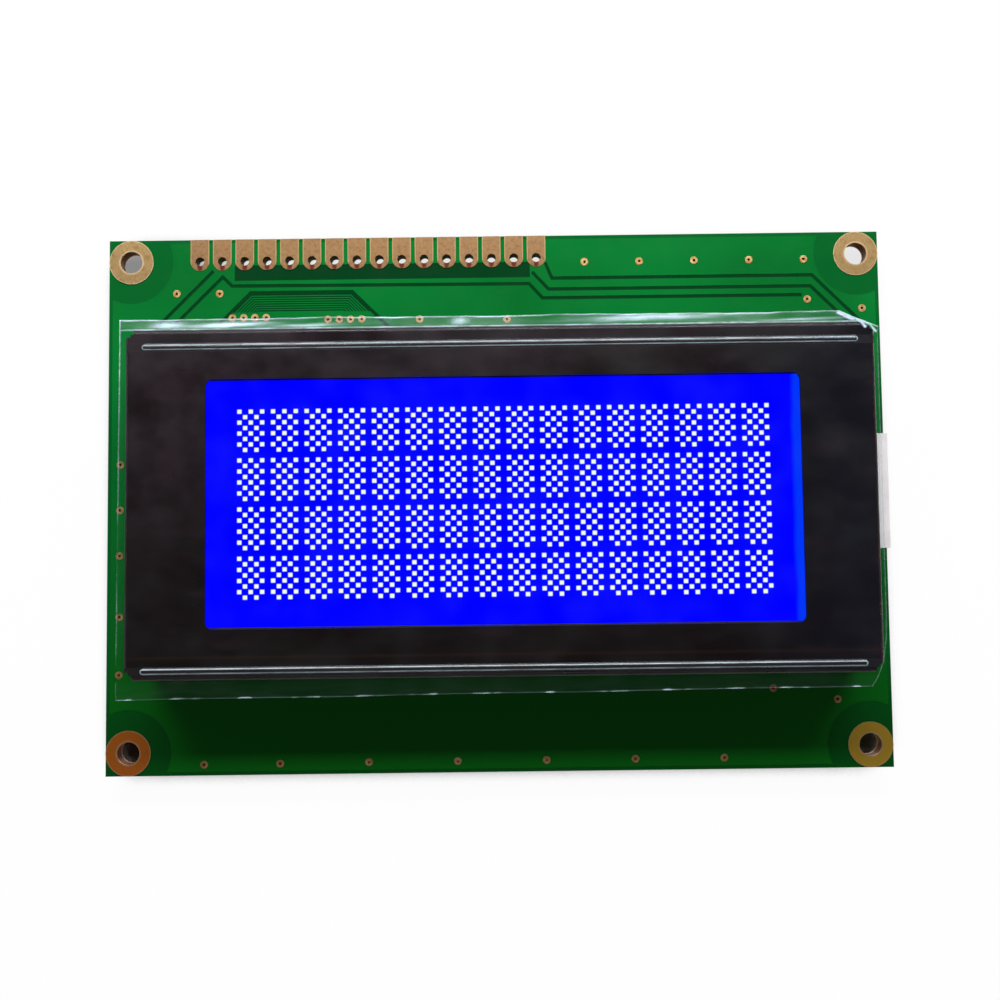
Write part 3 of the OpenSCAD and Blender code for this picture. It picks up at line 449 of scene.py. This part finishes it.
# Backlight: a moulded white housing holds a clear light guide between a white reflector and a diffuser.
# Three yellow-topped lamps on a small board shine into the guide's right end, below the bezel's cut-out.
white_plastic = (0.82, 0.79, 0.80, 1)
white_shade = (0.74, 0.70, 0.71, 1)
sheet_white = (0.88, 0.88, 0.87, 1)
sheet_shade = (0.8, 0.8, 0.8, 1)
acrylic_shade = (0.62, 0.72, 0.86, 1)
acrylic_pale = (0.8, 0.86, 0.94, 1)
phosphor = (0.85, 0.7, 0.2, 1)
phosphor_shade = (0.75, 0.55, 0.12, 1)
housing_finish, tree, shader = start_finish("moulded_white", Roughness=0.45)
place = place_in_mm(tree)[0]
tree.links.new(between(tree, fade(tree, cloud(tree, place, 3, 4), 0.35, 0.7), white_plastic, white_shade),
               shader.inputs["Base Color"])
tree.links.new(fade(tree, cloud(tree, place, 1.2), 0.3, 0.7, 0.38, 0.55), shader.inputs["Roughness"])
relief(tree, shader, cloud(tree, place, 0.25, 3), 0.012)
put_on(housing_finish, "backlight_housing")

sheet_finish, tree, shader = start_finish("white_film_sheet", Roughness=0.6)
place = place_in_mm(tree)[0]
tree.links.new(between(tree, fade(tree, cloud(tree, place, 0.3, 3), 0.3, 0.7), sheet_white, sheet_shade),
               shader.inputs["Base Color"])
put_on(sheet_finish, "reflector_sheet", "diffuser_sheet")

guide_finish, tree, shader = start_finish("clear_acrylic", Roughness=0.08)
place = place_in_mm(tree)[0]
dots = cloud(tree, place, 0.4, 1)
tree.links.new(between(tree, fade(tree, dots, 0.45, 0.6), acrylic_shade, acrylic_pale),
               shader.inputs["Base Color"])
put_on(guide_finish, "light_guide")

lamp_finish, tree, shader = start_finish("lamp_phosphor", Roughness=0.35)
place = place_in_mm(tree)[0]
tree.links.new(between(tree, fade(tree, cloud(tree, place, 0.3, 3), 0.3, 0.7), phosphor, phosphor_shade),
               shader.inputs["Base Color"])
put_on(lamp_finish, "leds")

strip_board, tree, shader = start_finish("lamp_board_mask", Roughness=0.35)
place = place_in_mm(tree)[0]
flecks = fade(tree, cloud(tree, place, 0.8, 3), 0.35, 0.65)
tree.links.new(between(tree, flecks, mask_on_copper, mask_in_gap), shader.inputs["Base Color"])
put_on(strip_board, "led_board")

# Contact strips: soft grey silicone rubber with close black layers that conduct, one layer to a contact.
# They are pressed between the glass ledges and the gold fingers on the board.
rubber_grey = (0.12, 0.12, 0.13, 1)
rubber_black = (0.012, 0.012, 0.013, 1)
layer_pitch = 0.18
strip_finish, tree, shader = start_finish("zebra_rubber", Roughness=0.7)
place, x, y, z = place_in_mm(tree)
layers = calc(tree, "SINE", calc(tree, "MULTIPLY", x, 2 * math.pi / layer_pitch))
tree.links.new(between(tree, fade(tree, layers, -0.2, 0.2), rubber_grey, rubber_black),
               shader.inputs["Base Color"])
relief(tree, shader, cloud(tree, place, 0.3, 3), 0.01)
put_on(strip_finish, "upper_zebra_strip", "lower_zebra_strip")

# Liquid crystal cell: two sheets of glass with an epoxy seal round a thin blue layer, lit from behind.
# Alternate dots of each character are driven clear and show the lamp's cream-white light.
# The layer is paler at the right end, where the lamps shine in.
lit_blue = (0.0, 0.0, 1.0, 1)
lamp_side_blue = (0.0, 0.035, 0.88, 1)
lit_cream = (0.98, 1.0, 0.62, 1)
lit_cream_dim = (0.93, 0.98, 0.7, 1)
seal_dark = (0.028, 0.026, 0.018, 1)
seal_darker = (0.018, 0.018, 0.016, 1)
# steps between letters and between dots, and a dot's own size, across and down in millimetres
letter_steps, dot_steps, dot_sizes = (3.55, 5.17), (0.6, 0.58), (0.55, 0.53)
bezel_low, bezel_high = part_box("bezel")
window_right = 31.84  # the right side of the bezel's window


def since_last(tree, value, step):
    """How far a value is past the last whole step."""
    return calc(tree, "MULTIPLY", calc(tree, "FRACT", calc(tree, "DIVIDE", value, step)), step)


def glowing(name, strength):
    """A finish that only shines, with no colour of its own, and only from its upper face."""
    finish, tree, shader = start_finish(name, Roughness=0.4)
    shader.inputs["Base Color"].default_value = (0, 0, 0, 1)
    shader.inputs["Specular IOR Level"].default_value = 0
    facing = tree.nodes.new("ShaderNodeSeparateXYZ")
    tree.links.new(tree.nodes.new("ShaderNodeNewGeometry").outputs["Normal"], facing.inputs[0])
    up = calc(tree, "GREATER_THAN", facing.outputs[2], 0.5)
    tree.links.new(calc(tree, "MULTIPLY", up, strength), shader.inputs["Emission Strength"])
    return finish, tree, shader


crystal_finish, tree, shader = glowing("lit_crystal", 1.1)
place, x, y, z = place_in_mm(tree)
glow_edge = calc(tree, "SUBTRACT", x, calc(tree, "MULTIPLY", cloud(tree, place, 4, 1), 0.6))
lamp_end = fade(tree, glow_edge, window_right - 1.1, window_right - 0.4)
tree.links.new(between(tree, lamp_end, lit_blue, lamp_side_blue), shader.inputs["Emission Color"])
put_on(crystal_finish, "liquid_crystal")

dots_low, dots_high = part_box("lit_dots")
dot_finish, tree, shader = glowing("clear_dots", 1.15)
place, x, y, z = place_in_mm(tree)
edges = []
from_corner = (calc(tree, "SUBTRACT", x, dots_low.x / mm), calc(tree, "SUBTRACT", dots_high.y / mm, y))
for along, letter_step, dot_step, dot in zip(from_corner, letter_steps, dot_steps, dot_sizes):
    in_dot = since_last(tree, since_last(tree, along, letter_step), dot_step)
    edges.append(calc(tree, "SUBTRACT", dot / 2, apart(tree, in_dot, dot / 2)))
driven = calc(tree, "MULTIPLY", fade(tree, edges[0], -0.01, 0.13), fade(tree, edges[1], -0.01, 0.13))
colour = between(tree, fade(tree, cloud(tree, place, 0.6, 2), 0.35, 0.65), lit_cream, lit_cream_dim)
tree.links.new(between(tree, driven, lit_blue, colour), shader.inputs["Emission Color"])
put_on(dot_finish, "lit_dots")
# the dots' upper faces lie a hair below the glass, so that the two do not show through each other
inside_layer = frame["nodes"]["lit_dots"].modifiers.new("inside_layer", "DISPLACE")
inside_layer.strength = -0.01 * mm
inside_layer.mid_level = 0

seal_finish, tree, shader = start_finish("epoxy_seal", Roughness=0.5)
place = place_in_mm(tree)[0]
tree.links.new(between(tree, fade(tree, cloud(tree, place, 0.4, 3), 0.3, 0.7), seal_dark, seal_darker),
               shader.inputs["Base Color"])
put_on(seal_finish, "edge_seal", "fill_port_plug")


def clear_finish(name, tint, shine, sheen, gloss, haze_and_painted_highlights, haze_colour, haze_size):
    """A clear sheet: light goes straight through with a tint, a small share is mirrored, and
    a thin milky layer in soft patches scatters a little more. shine is mirrored from every side, sheen only
    at a slant, gloss is the mirror's roughness, and haze_and_painted_highlights is that scatter's least and
    most share."""
    finish, tree, shader = start_finish(name)
    tree.nodes.remove(shader)
    place = place_in_mm(tree)[0]
    through = tree.nodes.new("ShaderNodeBsdfTransparent")
    through.inputs["Color"].default_value = tint
    mirror = tree.nodes.new("ShaderNodeBsdfGlossy")
    mirror.inputs["Roughness"].default_value = gloss
    fresnel = tree.nodes.new("ShaderNodeLayerWeight")
    fresnel.inputs["Blend"].default_value = 0.12
    mirrored = calc(tree, "ADD", calc(tree, "MULTIPLY", fresnel.outputs["Fresnel"], sheen), shine)
    polished = tree.nodes.new("ShaderNodeMixShader")
    tree.links.new(mirrored, polished.inputs[0])
    tree.links.new(through.outputs[0], polished.inputs[1])
    tree.links.new(mirror.outputs[0], polished.inputs[2])
    scatter = tree.nodes.new("ShaderNodeBsdfDiffuse")
    scatter.inputs["Color"].default_value = haze_colour
    hazed = tree.nodes.new("ShaderNodeMixShader")
    patches = fade(tree, cloud(tree, place, haze_size, 1), 0.35, 0.75, haze_and_painted_highlights[0], haze_and_painted_highlights[1])
    tree.links.new(patches, hazed.inputs[0])
    tree.links.new(polished.outputs[0], hazed.inputs[1])
    tree.links.new(scatter.outputs[0], hazed.inputs[2])
    tree.links.new(hazed.outputs[0], tree.nodes["Material Output"].inputs["Surface"])
    return finish, tree, hazed, patches, place, mirror


clear_glass = clear_finish("float_glass", (0.99, 1.0, 1.0, 1), shine=0.0, sheen=0.03, gloss=0.03,
                           haze_and_painted_highlights=(0, 0.001), haze_colour=(0.5, 0.6, 0.55, 1), haze_size=3)[0]
put_on(clear_glass, "front_glass", "rear_glass")
polarizer_finish = clear_finish("polarizer", (0.97, 0.99, 1.0, 1), shine=0.0, sheen=0.1, gloss=0.06,
                                haze_and_painted_highlights=(0, 0.001), haze_colour=(0.3, 0.4, 0.7, 1), haze_size=6)[0]
put_on(polarizer_finish, "front_polarizer", "rear_polarizer")

# Bezel: one piece of thin steel sheet, blanked, folded and embossed with two long beads, painted black.
# Its tabs go through the board's slots and are folded in below. The paint shows faint smudges and streaks,
# is worn to a dull brown-red toward the right end, and is matt along the beads and the left fold. A painted
# sheen makes it lighter and warmer toward the upper left, and painted shade makes it cooler toward the right
# end.
paint = (0.0065, 0.0040, 0.0042, 1)
paint_streaks_and_painted_sheen = (0.022, 0.013, 0.018, 1)
paint_cool_painted_shade = (0.0055, 0.0050, 0.0085, 1)
paint_worn = (0.040, 0.009, 0.008, 1)
paint_brown = (0.024, 0.012, 0.006, 1)
lower_bead_inset, upper_bead_inset = 1.0, 2.0
lower_bead_y = bezel_low.y / mm + lower_bead_inset
upper_bead_y = bezel_high.y / mm - upper_bead_inset
extra_matt = 0.45
bezel_finish, tree, shader = start_finish("black_paint", Specular_IOR_Level=0.25)
place, x, y, z = place_in_mm(tree)
# painted sheen: the paint is lighter and warmer toward the upper left, in soft patches
upper_left = calc(tree, "SUBTRACT", y, calc(tree, "MULTIPLY", x, 0.35))
upper_left_sheen = fade(tree, calc(tree, "ADD", upper_left, calc(tree, "MULTIPLY", cloud(tree, place, 9), 14)), 4, 34)
streaks = cloud(tree, place, 2.2, 5, (0.35, 1, 1))
# painted shade: a cooler tone toward the right end
colour = between(tree, fade(tree, x, 20, 38), paint, paint_cool_painted_shade)
mottle = fade(tree, cloud(tree, place, 3.5, 5), 0.35, 0.65, 0.25, 1.0)
colour = between(tree, calc(tree, "MULTIPLY", upper_left_sheen, mottle), colour, paint_streaks_and_painted_sheen)
colour = between(tree, fade(tree, streaks, 0.5, 0.8, 0, 0.5), colour, paint_streaks_and_painted_sheen)
right_end = bezel_high.x / mm
ragged_x = calc(tree, "ADD", x, calc(tree, "MULTIPLY", cloud(tree, place, 1.5), 1.2))
worn = fade(tree, ragged_x, right_end + 0.1, right_end + 0.7)
worn = calc(tree, "MULTIPLY", worn, fade(tree, z, bezel_high.z / mm - 1.6, bezel_high.z / mm - 0.5))
colour = between(tree, worn, colour, paint_worn)
for line_y in (lower_bead_y + 1.35, bezel_low.y / mm + 0.1):
    colour = between(tree, fade(tree, apart(tree, y, line_y), 0.28, 0.0, 0, 0.4), colour, paint_brown)
tree.links.new(colour, shader.inputs["Base Color"])
smudge = cloud(tree, place, 5, 5, (0.6, 1, 1))
smooth = fade(tree, smudge, 0.3, 0.7, 0.26, 0.46)
left_end = bezel_low.x / mm
matt = fade(tree, x, left_end, left_end + 0.35, extra_matt, 0)
for bead_y in (lower_bead_y, upper_bead_y):
    matt = calc(tree, "MAXIMUM", matt, fade(tree, apart(tree, y, bead_y), 0.3, 0.5, extra_matt, 0))
tree.links.new(calc(tree, "ADD", smooth, matt), shader.inputs["Roughness"])
relief(tree, shader, cloud(tree, place, 1.6, 2), 0.004)
put_on(bezel_finish, "bezel")

# Protective film: a soft clear sheet laid over the bezel's face, a little larger than the face all round.
# Its upper skin is computed and thickened downward. It follows the two beads, droops and wrinkles past
# the folds, and has come loose at the upper right corner, where it is creased white, partly as painted
# highlight.
# White lines along its cut edges, the upper fold and the beads' outlines are painted highlights, and the
# white streaks and milky tint over the strip above the face are painted glare and reflection.
film_low, film_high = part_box("protective_film")
film_t = 0.08 * mm
bead_rise = 0.2 * mm
bead_half = 0.35 * mm
bead_end_gap = 1.8 * mm
bead_ys = (bezel_low.y + lower_bead_inset * mm, bezel_high.y - upper_bead_inset * mm)
film_gap = 0.006 * mm
film_rest = bezel_high.z - bead_rise + film_gap + film_t
fold_start = 0.2 * mm
crease_run, crease_drop = 5.0 * mm, 2.6 * mm
side_ease, foot_ease, top_ease = 3 * mm, 1.4 * mm, 2.1 * mm
# from, to (measured from the upper right corner), width, whiteness
crease_lines = (((-4.0, -0.22), (-2.6, -0.85), 0.16, 1.6), ((-2.6, -0.75), (-0.9, -1.45), 0.12, 1.4),
                ((-1.9, -1.05), (-1.3, -1.75), 0.1, 1.2), ((-0.9, -1.45), (-0.2, -2.3), 0.07, 0.9))
# painted glare: white streaks over the strip above the face
# middle and half length as shares of the width, height and thickness as shares of the strip, whiteness
streaks = ((0.065, 0.018, 0.35, 0.30, 0.55), (0.145, 0.045, 0.30, 0.22, 0.8), (0.245, 0.04, 0.12, 0.15, 0.5),
           (0.45, 0.008, 0.40, 0.30, 0.6), (0.70, 0.075, 0.55, 0.25, 0.55), (0.90, 0.05, 0.15, 0.12, 0.3))


def spread(start, *stops):
    """Steps that are even between stops; each stop is where it ends and how many steps lead to it."""
    parts = [np.array([start])]
    for end, steps in stops:
        parts.append(np.linspace(parts[-1][-1], end, steps + 1)[1:])
    return np.concatenate(parts)


def bell(distance, width):
    """1 at no distance, falling off as the square in an exponent, over about the width."""
    return np.exp(-(distance / width) ** 2)


def wave(along, shift):
    """Three slow sines added up, the quick ones lower: sin((along + shift) * rate) / (1 + rate)."""
    return sum(np.sin(along / mm * rate + shift * rate) / (1 + rate) for rate in (0.5, 1.3, 2.9))


def rim_moved(values, limit, ease, wanted):
    """Values within ease of a limit, spread evenly so that the limit itself goes to where it is wanted."""
    return limit - ease + (values - limit + ease) * (wanted - limit + ease) / ease


def film_sheet():
    """The film's upper skin over a grid of x and y, squeezed at the rims onto the cut outline.
    height = rest + bead - droop + wrinkle + lift: bead is a circle's arc over the distance from the bead's
    middle line, eased at its foot; droop is slope times d * d / (d + ease), d being the distance past the
    fold, with a slope that varies in slow sines along the edge; lift is a steady slope past the crease
    with a narrow ridge and a narrow dip. The haze_and_painted_highlights share is white along the rims, fold
    and bead outlines as painted highlights, white along the creases as whitening and painted highlight,
    white in streaks above the face as painted glare, and faint past the fold, with a painted reflection over
    the strip above the face. Gives the corners, that share, the gleam and how slack the sheet is."""
    low, high = np.array(film_low[:2]), np.array(film_high[:2])
    ys = spread(low[1], (low[1] + 0.3 * mm, 5), (bezel_low.y, 10), (bead_ys[0] - 0.5 * mm, 5),
                (bead_ys[0] + 0.5 * mm, 22), (bead_ys[1] - 0.5 * mm, 16), (bead_ys[1] + 0.5 * mm, 22),
                (bezel_high.y - 0.2 * mm, 14), (high[1] - 0.2 * mm, 16), (high[1], 6))
    xs = spread(low[0], (low[0] + 0.4 * mm, 6), (bezel_low.x + 1.6 * mm, 8), (bezel_low.x + 2.4 * mm, 22),
                (bezel_high.x - 5 * mm, 130), (bezel_high.x - 2.4 * mm, 24), (bezel_high.x - 1.6 * mm, 22),
                (high[0] - 0.3 * mm, 18), (high[0], 6))
    x, y = np.meshgrid(xs, ys)
    # the cut outline: a slanting left side, a slanting foot, and a lower right corner cut off in steps
    left = np.interp(y, [low[1], high[1]], [low[0], low[0] + 0.2 * mm])
    cut_ys, cut_xs = np.array([39.35, 36.65, 33.55]) * mm, np.array([1.6, 0.5, 0.0]) * mm
    right = np.interp(y, high[1] - cut_ys, high[0] - cut_xs)
    foot = np.interp(x, [low[0], high[0] - 1.6 * mm], [low[1], low[1] + 0.55 * mm])
    top = high[1] - 0.04 * mm * (1.5 + wave(x, 2.0)) - np.maximum(x - high[0] + 4 * mm, 0) * 0.42
    x_in, y_in = low[0] + side_ease, low[1] + foot_ease
    x = np.where(x < x_in, x_in - (x_in - x) * (x_in - left) / side_ease, x)
    x = np.where(x > high[0] - side_ease, rim_moved(x, high[0], side_ease, right), x)
    y = np.where(y < y_in, y_in - (y_in - y) * (y_in - foot) / foot_ease, y)
    y = np.where(y > high[1] - top_ease, rim_moved(y, high[1], top_ease, top), y)
    # beads
    arc_r = (bead_half ** 2 + bead_rise ** 2) / (2 * bead_rise) + film_t
    half_length = (bezel_high.x - bezel_low.x) / 2 - bead_end_gap - bead_half
    past_end = np.maximum(np.abs(x - (bezel_low.x + bezel_high.x) / 2) - half_length, 0)
    bead, bead_outline_highlights = np.zeros_like(x), np.zeros_like(x)
    for bead_y in bead_ys:
        out = np.hypot(past_end, y - bead_y)
        arc = np.sqrt(np.maximum(arc_r ** 2 - out ** 2, 0)) - (arc_r - bead_rise)
        bead += (arc + np.sqrt(arc ** 2 + (0.02 * mm) ** 2)) / 2
        # painted highlights: thin white lines round each bead's outline
        bead_outline_highlights += 0.5 * bell(out - 0.25 * mm, 0.04 * mm)
    # droop and wrinkles past the folds
    past = np.maximum.reduce([bezel_low.x + fold_start - x, x - bezel_high.x + fold_start,
                              y - bezel_high.y + fold_start, bezel_low.y + fold_start - y, np.zeros_like(x)])
    crease = (x - high[0] + crease_run) * crease_drop + (y - high[1]) * crease_run
    crease = crease / math.hypot(crease_run, crease_drop)
    held = 1 / (1 + np.exp((crease + 0.5 * mm) / (0.18 * mm)))
    slope = 0.26 + 0.16 * np.sin(x / mm * 0.23 + 2.4) + 0.05 * wave(x, 0.7) + 0.06 * wave(y, 4.0)
    wrinkle = 0.02 * np.sin(x / mm * 1.9 + 1.0) * np.sin(y / mm * 0.9)
    droop = held * (slope * past ** 2 / (past + 0.25 * mm) + wrinkle * past)
    # loose corner
    lifted = np.maximum(crease, 0)
    lift = 0.235 * lifted ** 2 / (lifted + 0.12 * mm) + 0.05 * mm * bell(crease, 0.13 * mm)
    lift -= 0.035 * mm * bell(crease - 0.8 * mm, 0.16 * mm)
    z = film_rest + bead - droop + lift
    along_top, along_side = (x - low[0]) / (high[0] - low[0]), (y - low[1]) / (high[1] - low[1])
    # painted highlights: white lines along the cut edges, brightest along the top and the upper left side,
    # with glints along the foot
    haze_and_painted_highlights = bell(top - y, 0.09 * mm) * (0.55 + 0.3 * wave(x, 1.7))
    haze_and_painted_highlights += bell(x - left, 0.08 * mm) * (0.08 + 0.5 * along_side ** 4 + 0.1 * wave(y, 2.2))
    haze_and_painted_highlights += bell(y - foot, 0.08 * mm) * (0.05 + 0.9 * np.maximum(wave(x * 2, 5.1), 0) ** 3)
    haze_and_painted_highlights += bell(right - x, 0.08 * mm) * 0.1
    # white creases at the loose corner, partly whitening and partly painted highlight, and painted glare in
    # streaks along the strip above the face
    for start, end, width, white in crease_lines:
        start, end = high + np.array(start) * mm, high + np.array(end) * mm
        run = end - start
        share = (((x - start[0]) * run[0] + (y - start[1]) * run[1]) / (run @ run)).clip(0, 1)
        to_line = np.hypot(x - start[0] - share * run[0], y - start[1] - share * run[1])
        haze_and_painted_highlights += white * bell(to_line, width * mm)
    above = (y - bezel_high.y) / (high[1] - bezel_high.y)
    strip = np.clip((above + 0.1) / 0.2, 0, 1)
    # a faint milky scatter past the folds, and a painted reflection over the strip above the face
    haze_and_painted_highlights += 0.003 * np.clip(past / mm, 0, 1) + strip * (0.025 + 0.015 * wave(x, 3.1)) + bead_outline_highlights
    # painted highlight along the bezel's upper fold
    haze_and_painted_highlights += bell(y - bezel_high.y + 0.12 * mm, 0.06 * mm) * (0.42 + 0.15 * wave(x * 2, 0.4))
    for middle, half, level, thick, white in streaks:
        from_middle = along_top - middle
        haze_and_painted_highlights += strip * white * bell(from_middle, half) * bell(above - level - 2 * from_middle, thick)
    near_bead = sum(bell(np.hypot(past_end, y - bead_y), 0.45 * mm) for bead_y in bead_ys)
    slack = past / mm + near_bead
    return np.stack([x, y, np.minimum(z, film_high.z)], -1), haze_and_painted_highlights.clip(0, 0.95), near_bead * 0.02, slack


film_finish, tree, hazed, patches, place, mirror = clear_finish(
    "clear_film", (0.97, 0.985, 0.99, 1), shine=0.003, sheen=0.4, gloss=0.06,
    haze_and_painted_highlights=(0.0, 0.002), haze_colour=(0.6, 0.74, 0.84, 1), haze_size=4)
polished = hazed.inputs[1].links[0].from_node
own = {}
for name in ("haze_and_painted_highlights", "gleam", "slack"):
    own[name] = tree.nodes.new("ShaderNodeAttribute")
    own[name].attribute_name = name
streaky = fade(tree, cloud(tree, place, 0.35, 2, (0.12, 1, 1)), 0.3, 0.7, 0.55, 1.25)
tree.links.new(calc(tree, "ADD", patches, calc(tree, "MULTIPLY", own["haze_and_painted_highlights"].outputs["Fac"], streaky)),
               hazed.inputs[0])
taut = fade(tree, own["slack"].outputs["Fac"], 0.0, 0.6, 1.0, 0.4)
mirrored = calc(tree, "MULTIPLY", polished.inputs[0].links[0].from_socket, taut)
tree.links.new(calc(tree, "ADD", mirrored, own["gleam"].outputs["Fac"]), polished.inputs[0])
slack = fade(tree, own["slack"].outputs["Fac"], 0.0, 0.5, 0.06, 0.26)
tree.links.new(calc(tree, "ADD", slack, fade(tree, cloud(tree, place, 5, 0), 0.35, 0.7, 0.0, 0.02)),
               mirror.inputs["Roughness"])
corners, haze_and_painted_highlights, gleam, slack = film_sheet()
film = new_piece("laid_film", corners, grid_faces(*corners.shape[:2]).tolist(), film_finish, "film",
                 "protective_film")
for name, values in (("haze_and_painted_highlights", haze_and_painted_highlights), ("gleam", gleam), ("slack", slack)):
    film.data.attributes.new(name, "FLOAT", "POINT").data.foreach_set("value", values.ravel())
wall = film.modifiers.new("thickness", "SOLIDIFY")
wall.thickness = film_t
wall.offset = -1.0
for clear_piece in (film, *(frame["nodes"][name] for name in ("front_polarizer", "front_glass"))):
    clear_piece.visible_shadow = False

# The table: a plain pale sheet under the module. It darkens where the module is close above it, which is
# the module's shadow, least below the upper holes and fully below the lower ones.
# It lets light and sight through from below, so that the underside can be looked at.
table_half = 2.0
table_gap = 0.02 * mm
table_z = cad_low.z - table_gap
table_white = 0.97
shadow_reach = 4 * mm
mesh = bpy.data.meshes.new("table")
mesh.from_pydata([(-table_half, -table_half, table_z), (table_half, -table_half, table_z),
                  (table_half, table_half, table_z), (-table_half, table_half, table_z)], [], [(0, 1, 2, 3)])
table = bpy.data.objects.new("table", mesh)
bpy.context.scene.collection.objects.link(table)
table.visible_shadow = False
finish, tree, shader = start_finish("pale_table", Roughness=1.0, Base_Color=(0.9, 0.9, 0.9, 1))
shader.inputs["Specular IOR Level"].default_value = 0
white = tree.nodes.new("ShaderNodeEmission")
ray = tree.nodes.new("ShaderNodeLightPath")
seen = tree.nodes.new("ShaderNodeMixShader")
tree.links.new(calc(tree, "MULTIPLY", ray.outputs["Is Camera Ray"], table_white), seen.inputs[0])
shade = tree.nodes.new("ShaderNodeAmbientOcclusion")
shade.inputs["Distance"].default_value = shadow_reach
place, x, y, z = place_in_mm(tree)
below = fade(tree, y, -5, 25, 0.0, fade(tree, x, -42, -26, 0.25, 0.8))
tree.links.new(fade(tree, shade.outputs["AO"], 0.5, 0.8, below, 1.0), white.inputs["Strength"])
tree.links.new(shader.outputs[0], seen.inputs[1])
tree.links.new(white.outputs[0], seen.inputs[2])
sides = tree.nodes.new("ShaderNodeMixShader")
tree.links.new(tree.nodes.new("ShaderNodeNewGeometry").outputs["Backfacing"], sides.inputs[0])
tree.links.new(seen.outputs[0], sides.inputs[1])
tree.links.new(tree.nodes.new("ShaderNodeBsdfTransparent").outputs[0], sides.inputs[2])
tree.links.new(sides.outputs[0], tree.nodes["Material Output"].inputs["Surface"])
mesh.materials.append(finish)

# The studio: a pale room that is dark overhead, so the glossy faces stay dark from above.
# The main softbox stands behind the module's upper edge; a weak narrow one in front answers it, and a
# third one from below lights the underside.
world = bpy.data.worlds.new("room")
bpy.context.scene.world = world
world.use_nodes = True
tree = world.node_tree
direction = tree.nodes.new("ShaderNodeTexCoord")
parts = tree.nodes.new("ShaderNodeSeparateXYZ")
tree.links.new(direction.outputs["Generated"], parts.inputs[0])
room = fade(tree, parts.outputs[2], 0.1, 0.8, 0.5, 0.03)
ray = tree.nodes.new("ShaderNodeLightPath")
shown = calc(tree, "MAXIMUM", room, ray.outputs["Is Camera Ray"])
tree.links.new(shown, tree.nodes["Background"].inputs["Strength"])
tree.nodes["Background"].inputs["Color"].default_value = (1, 1, 1, 1)


def softbox(name, direction, distance, width, height, power):
    """A flat lamp that faces the module from a direction given as (right, away, up)."""
    lamp = bpy.data.lights.new(name, "AREA")
    lamp.shape = "RECTANGLE"
    lamp.size = width
    lamp.size_y = height
    lamp.energy = power
    lamp_object = bpy.data.objects.new(name, lamp)
    lamp_object.visible_camera = False
    length = math.sqrt(sum(part * part for part in direction))
    lamp_object.location = [part / length * distance for part in direction]
    flat = math.hypot(direction[0], direction[1])
    lamp_object.rotation_euler = (math.atan2(flat, direction[2]), 0, math.atan2(direction[0], -direction[1]))
    bpy.context.scene.collection.objects.link(lamp_object)


softbox("main_softbox", (0.0, 1.0, 0.95), distance=0.22, width=0.30, height=0.044, power=0.82)
softbox("front_softbox", (-0.1, -1.0, 1.0), distance=0.5, width=0.40, height=0.016, power=0.22)
softbox("low_softbox", (0.1, 0.5, -1.0), distance=0.5, width=0.30, height=0.30, power=1.1)

# The camera: above the module, a little toward its lower edge, and almost square to it.
camera_data = bpy.data.cameras.new("camera")
camera_data.lens = 38.97
camera_data.sensor_width = 36
camera_data.clip_start = 0.005
camera = bpy.data.objects.new("camera", camera_data)
camera.location = (0.45558 * mm, -6.87827 * mm, 120.89632 * mm)
camera.rotation_mode = "ZYX"
camera.rotation_euler = (0.0571, 0.0004, -0.0126)
bpy.context.scene.collection.objects.link(camera)
bpy.context.scene.camera = camera
bpy.context.scene.view_settings.view_transform = "Standard"
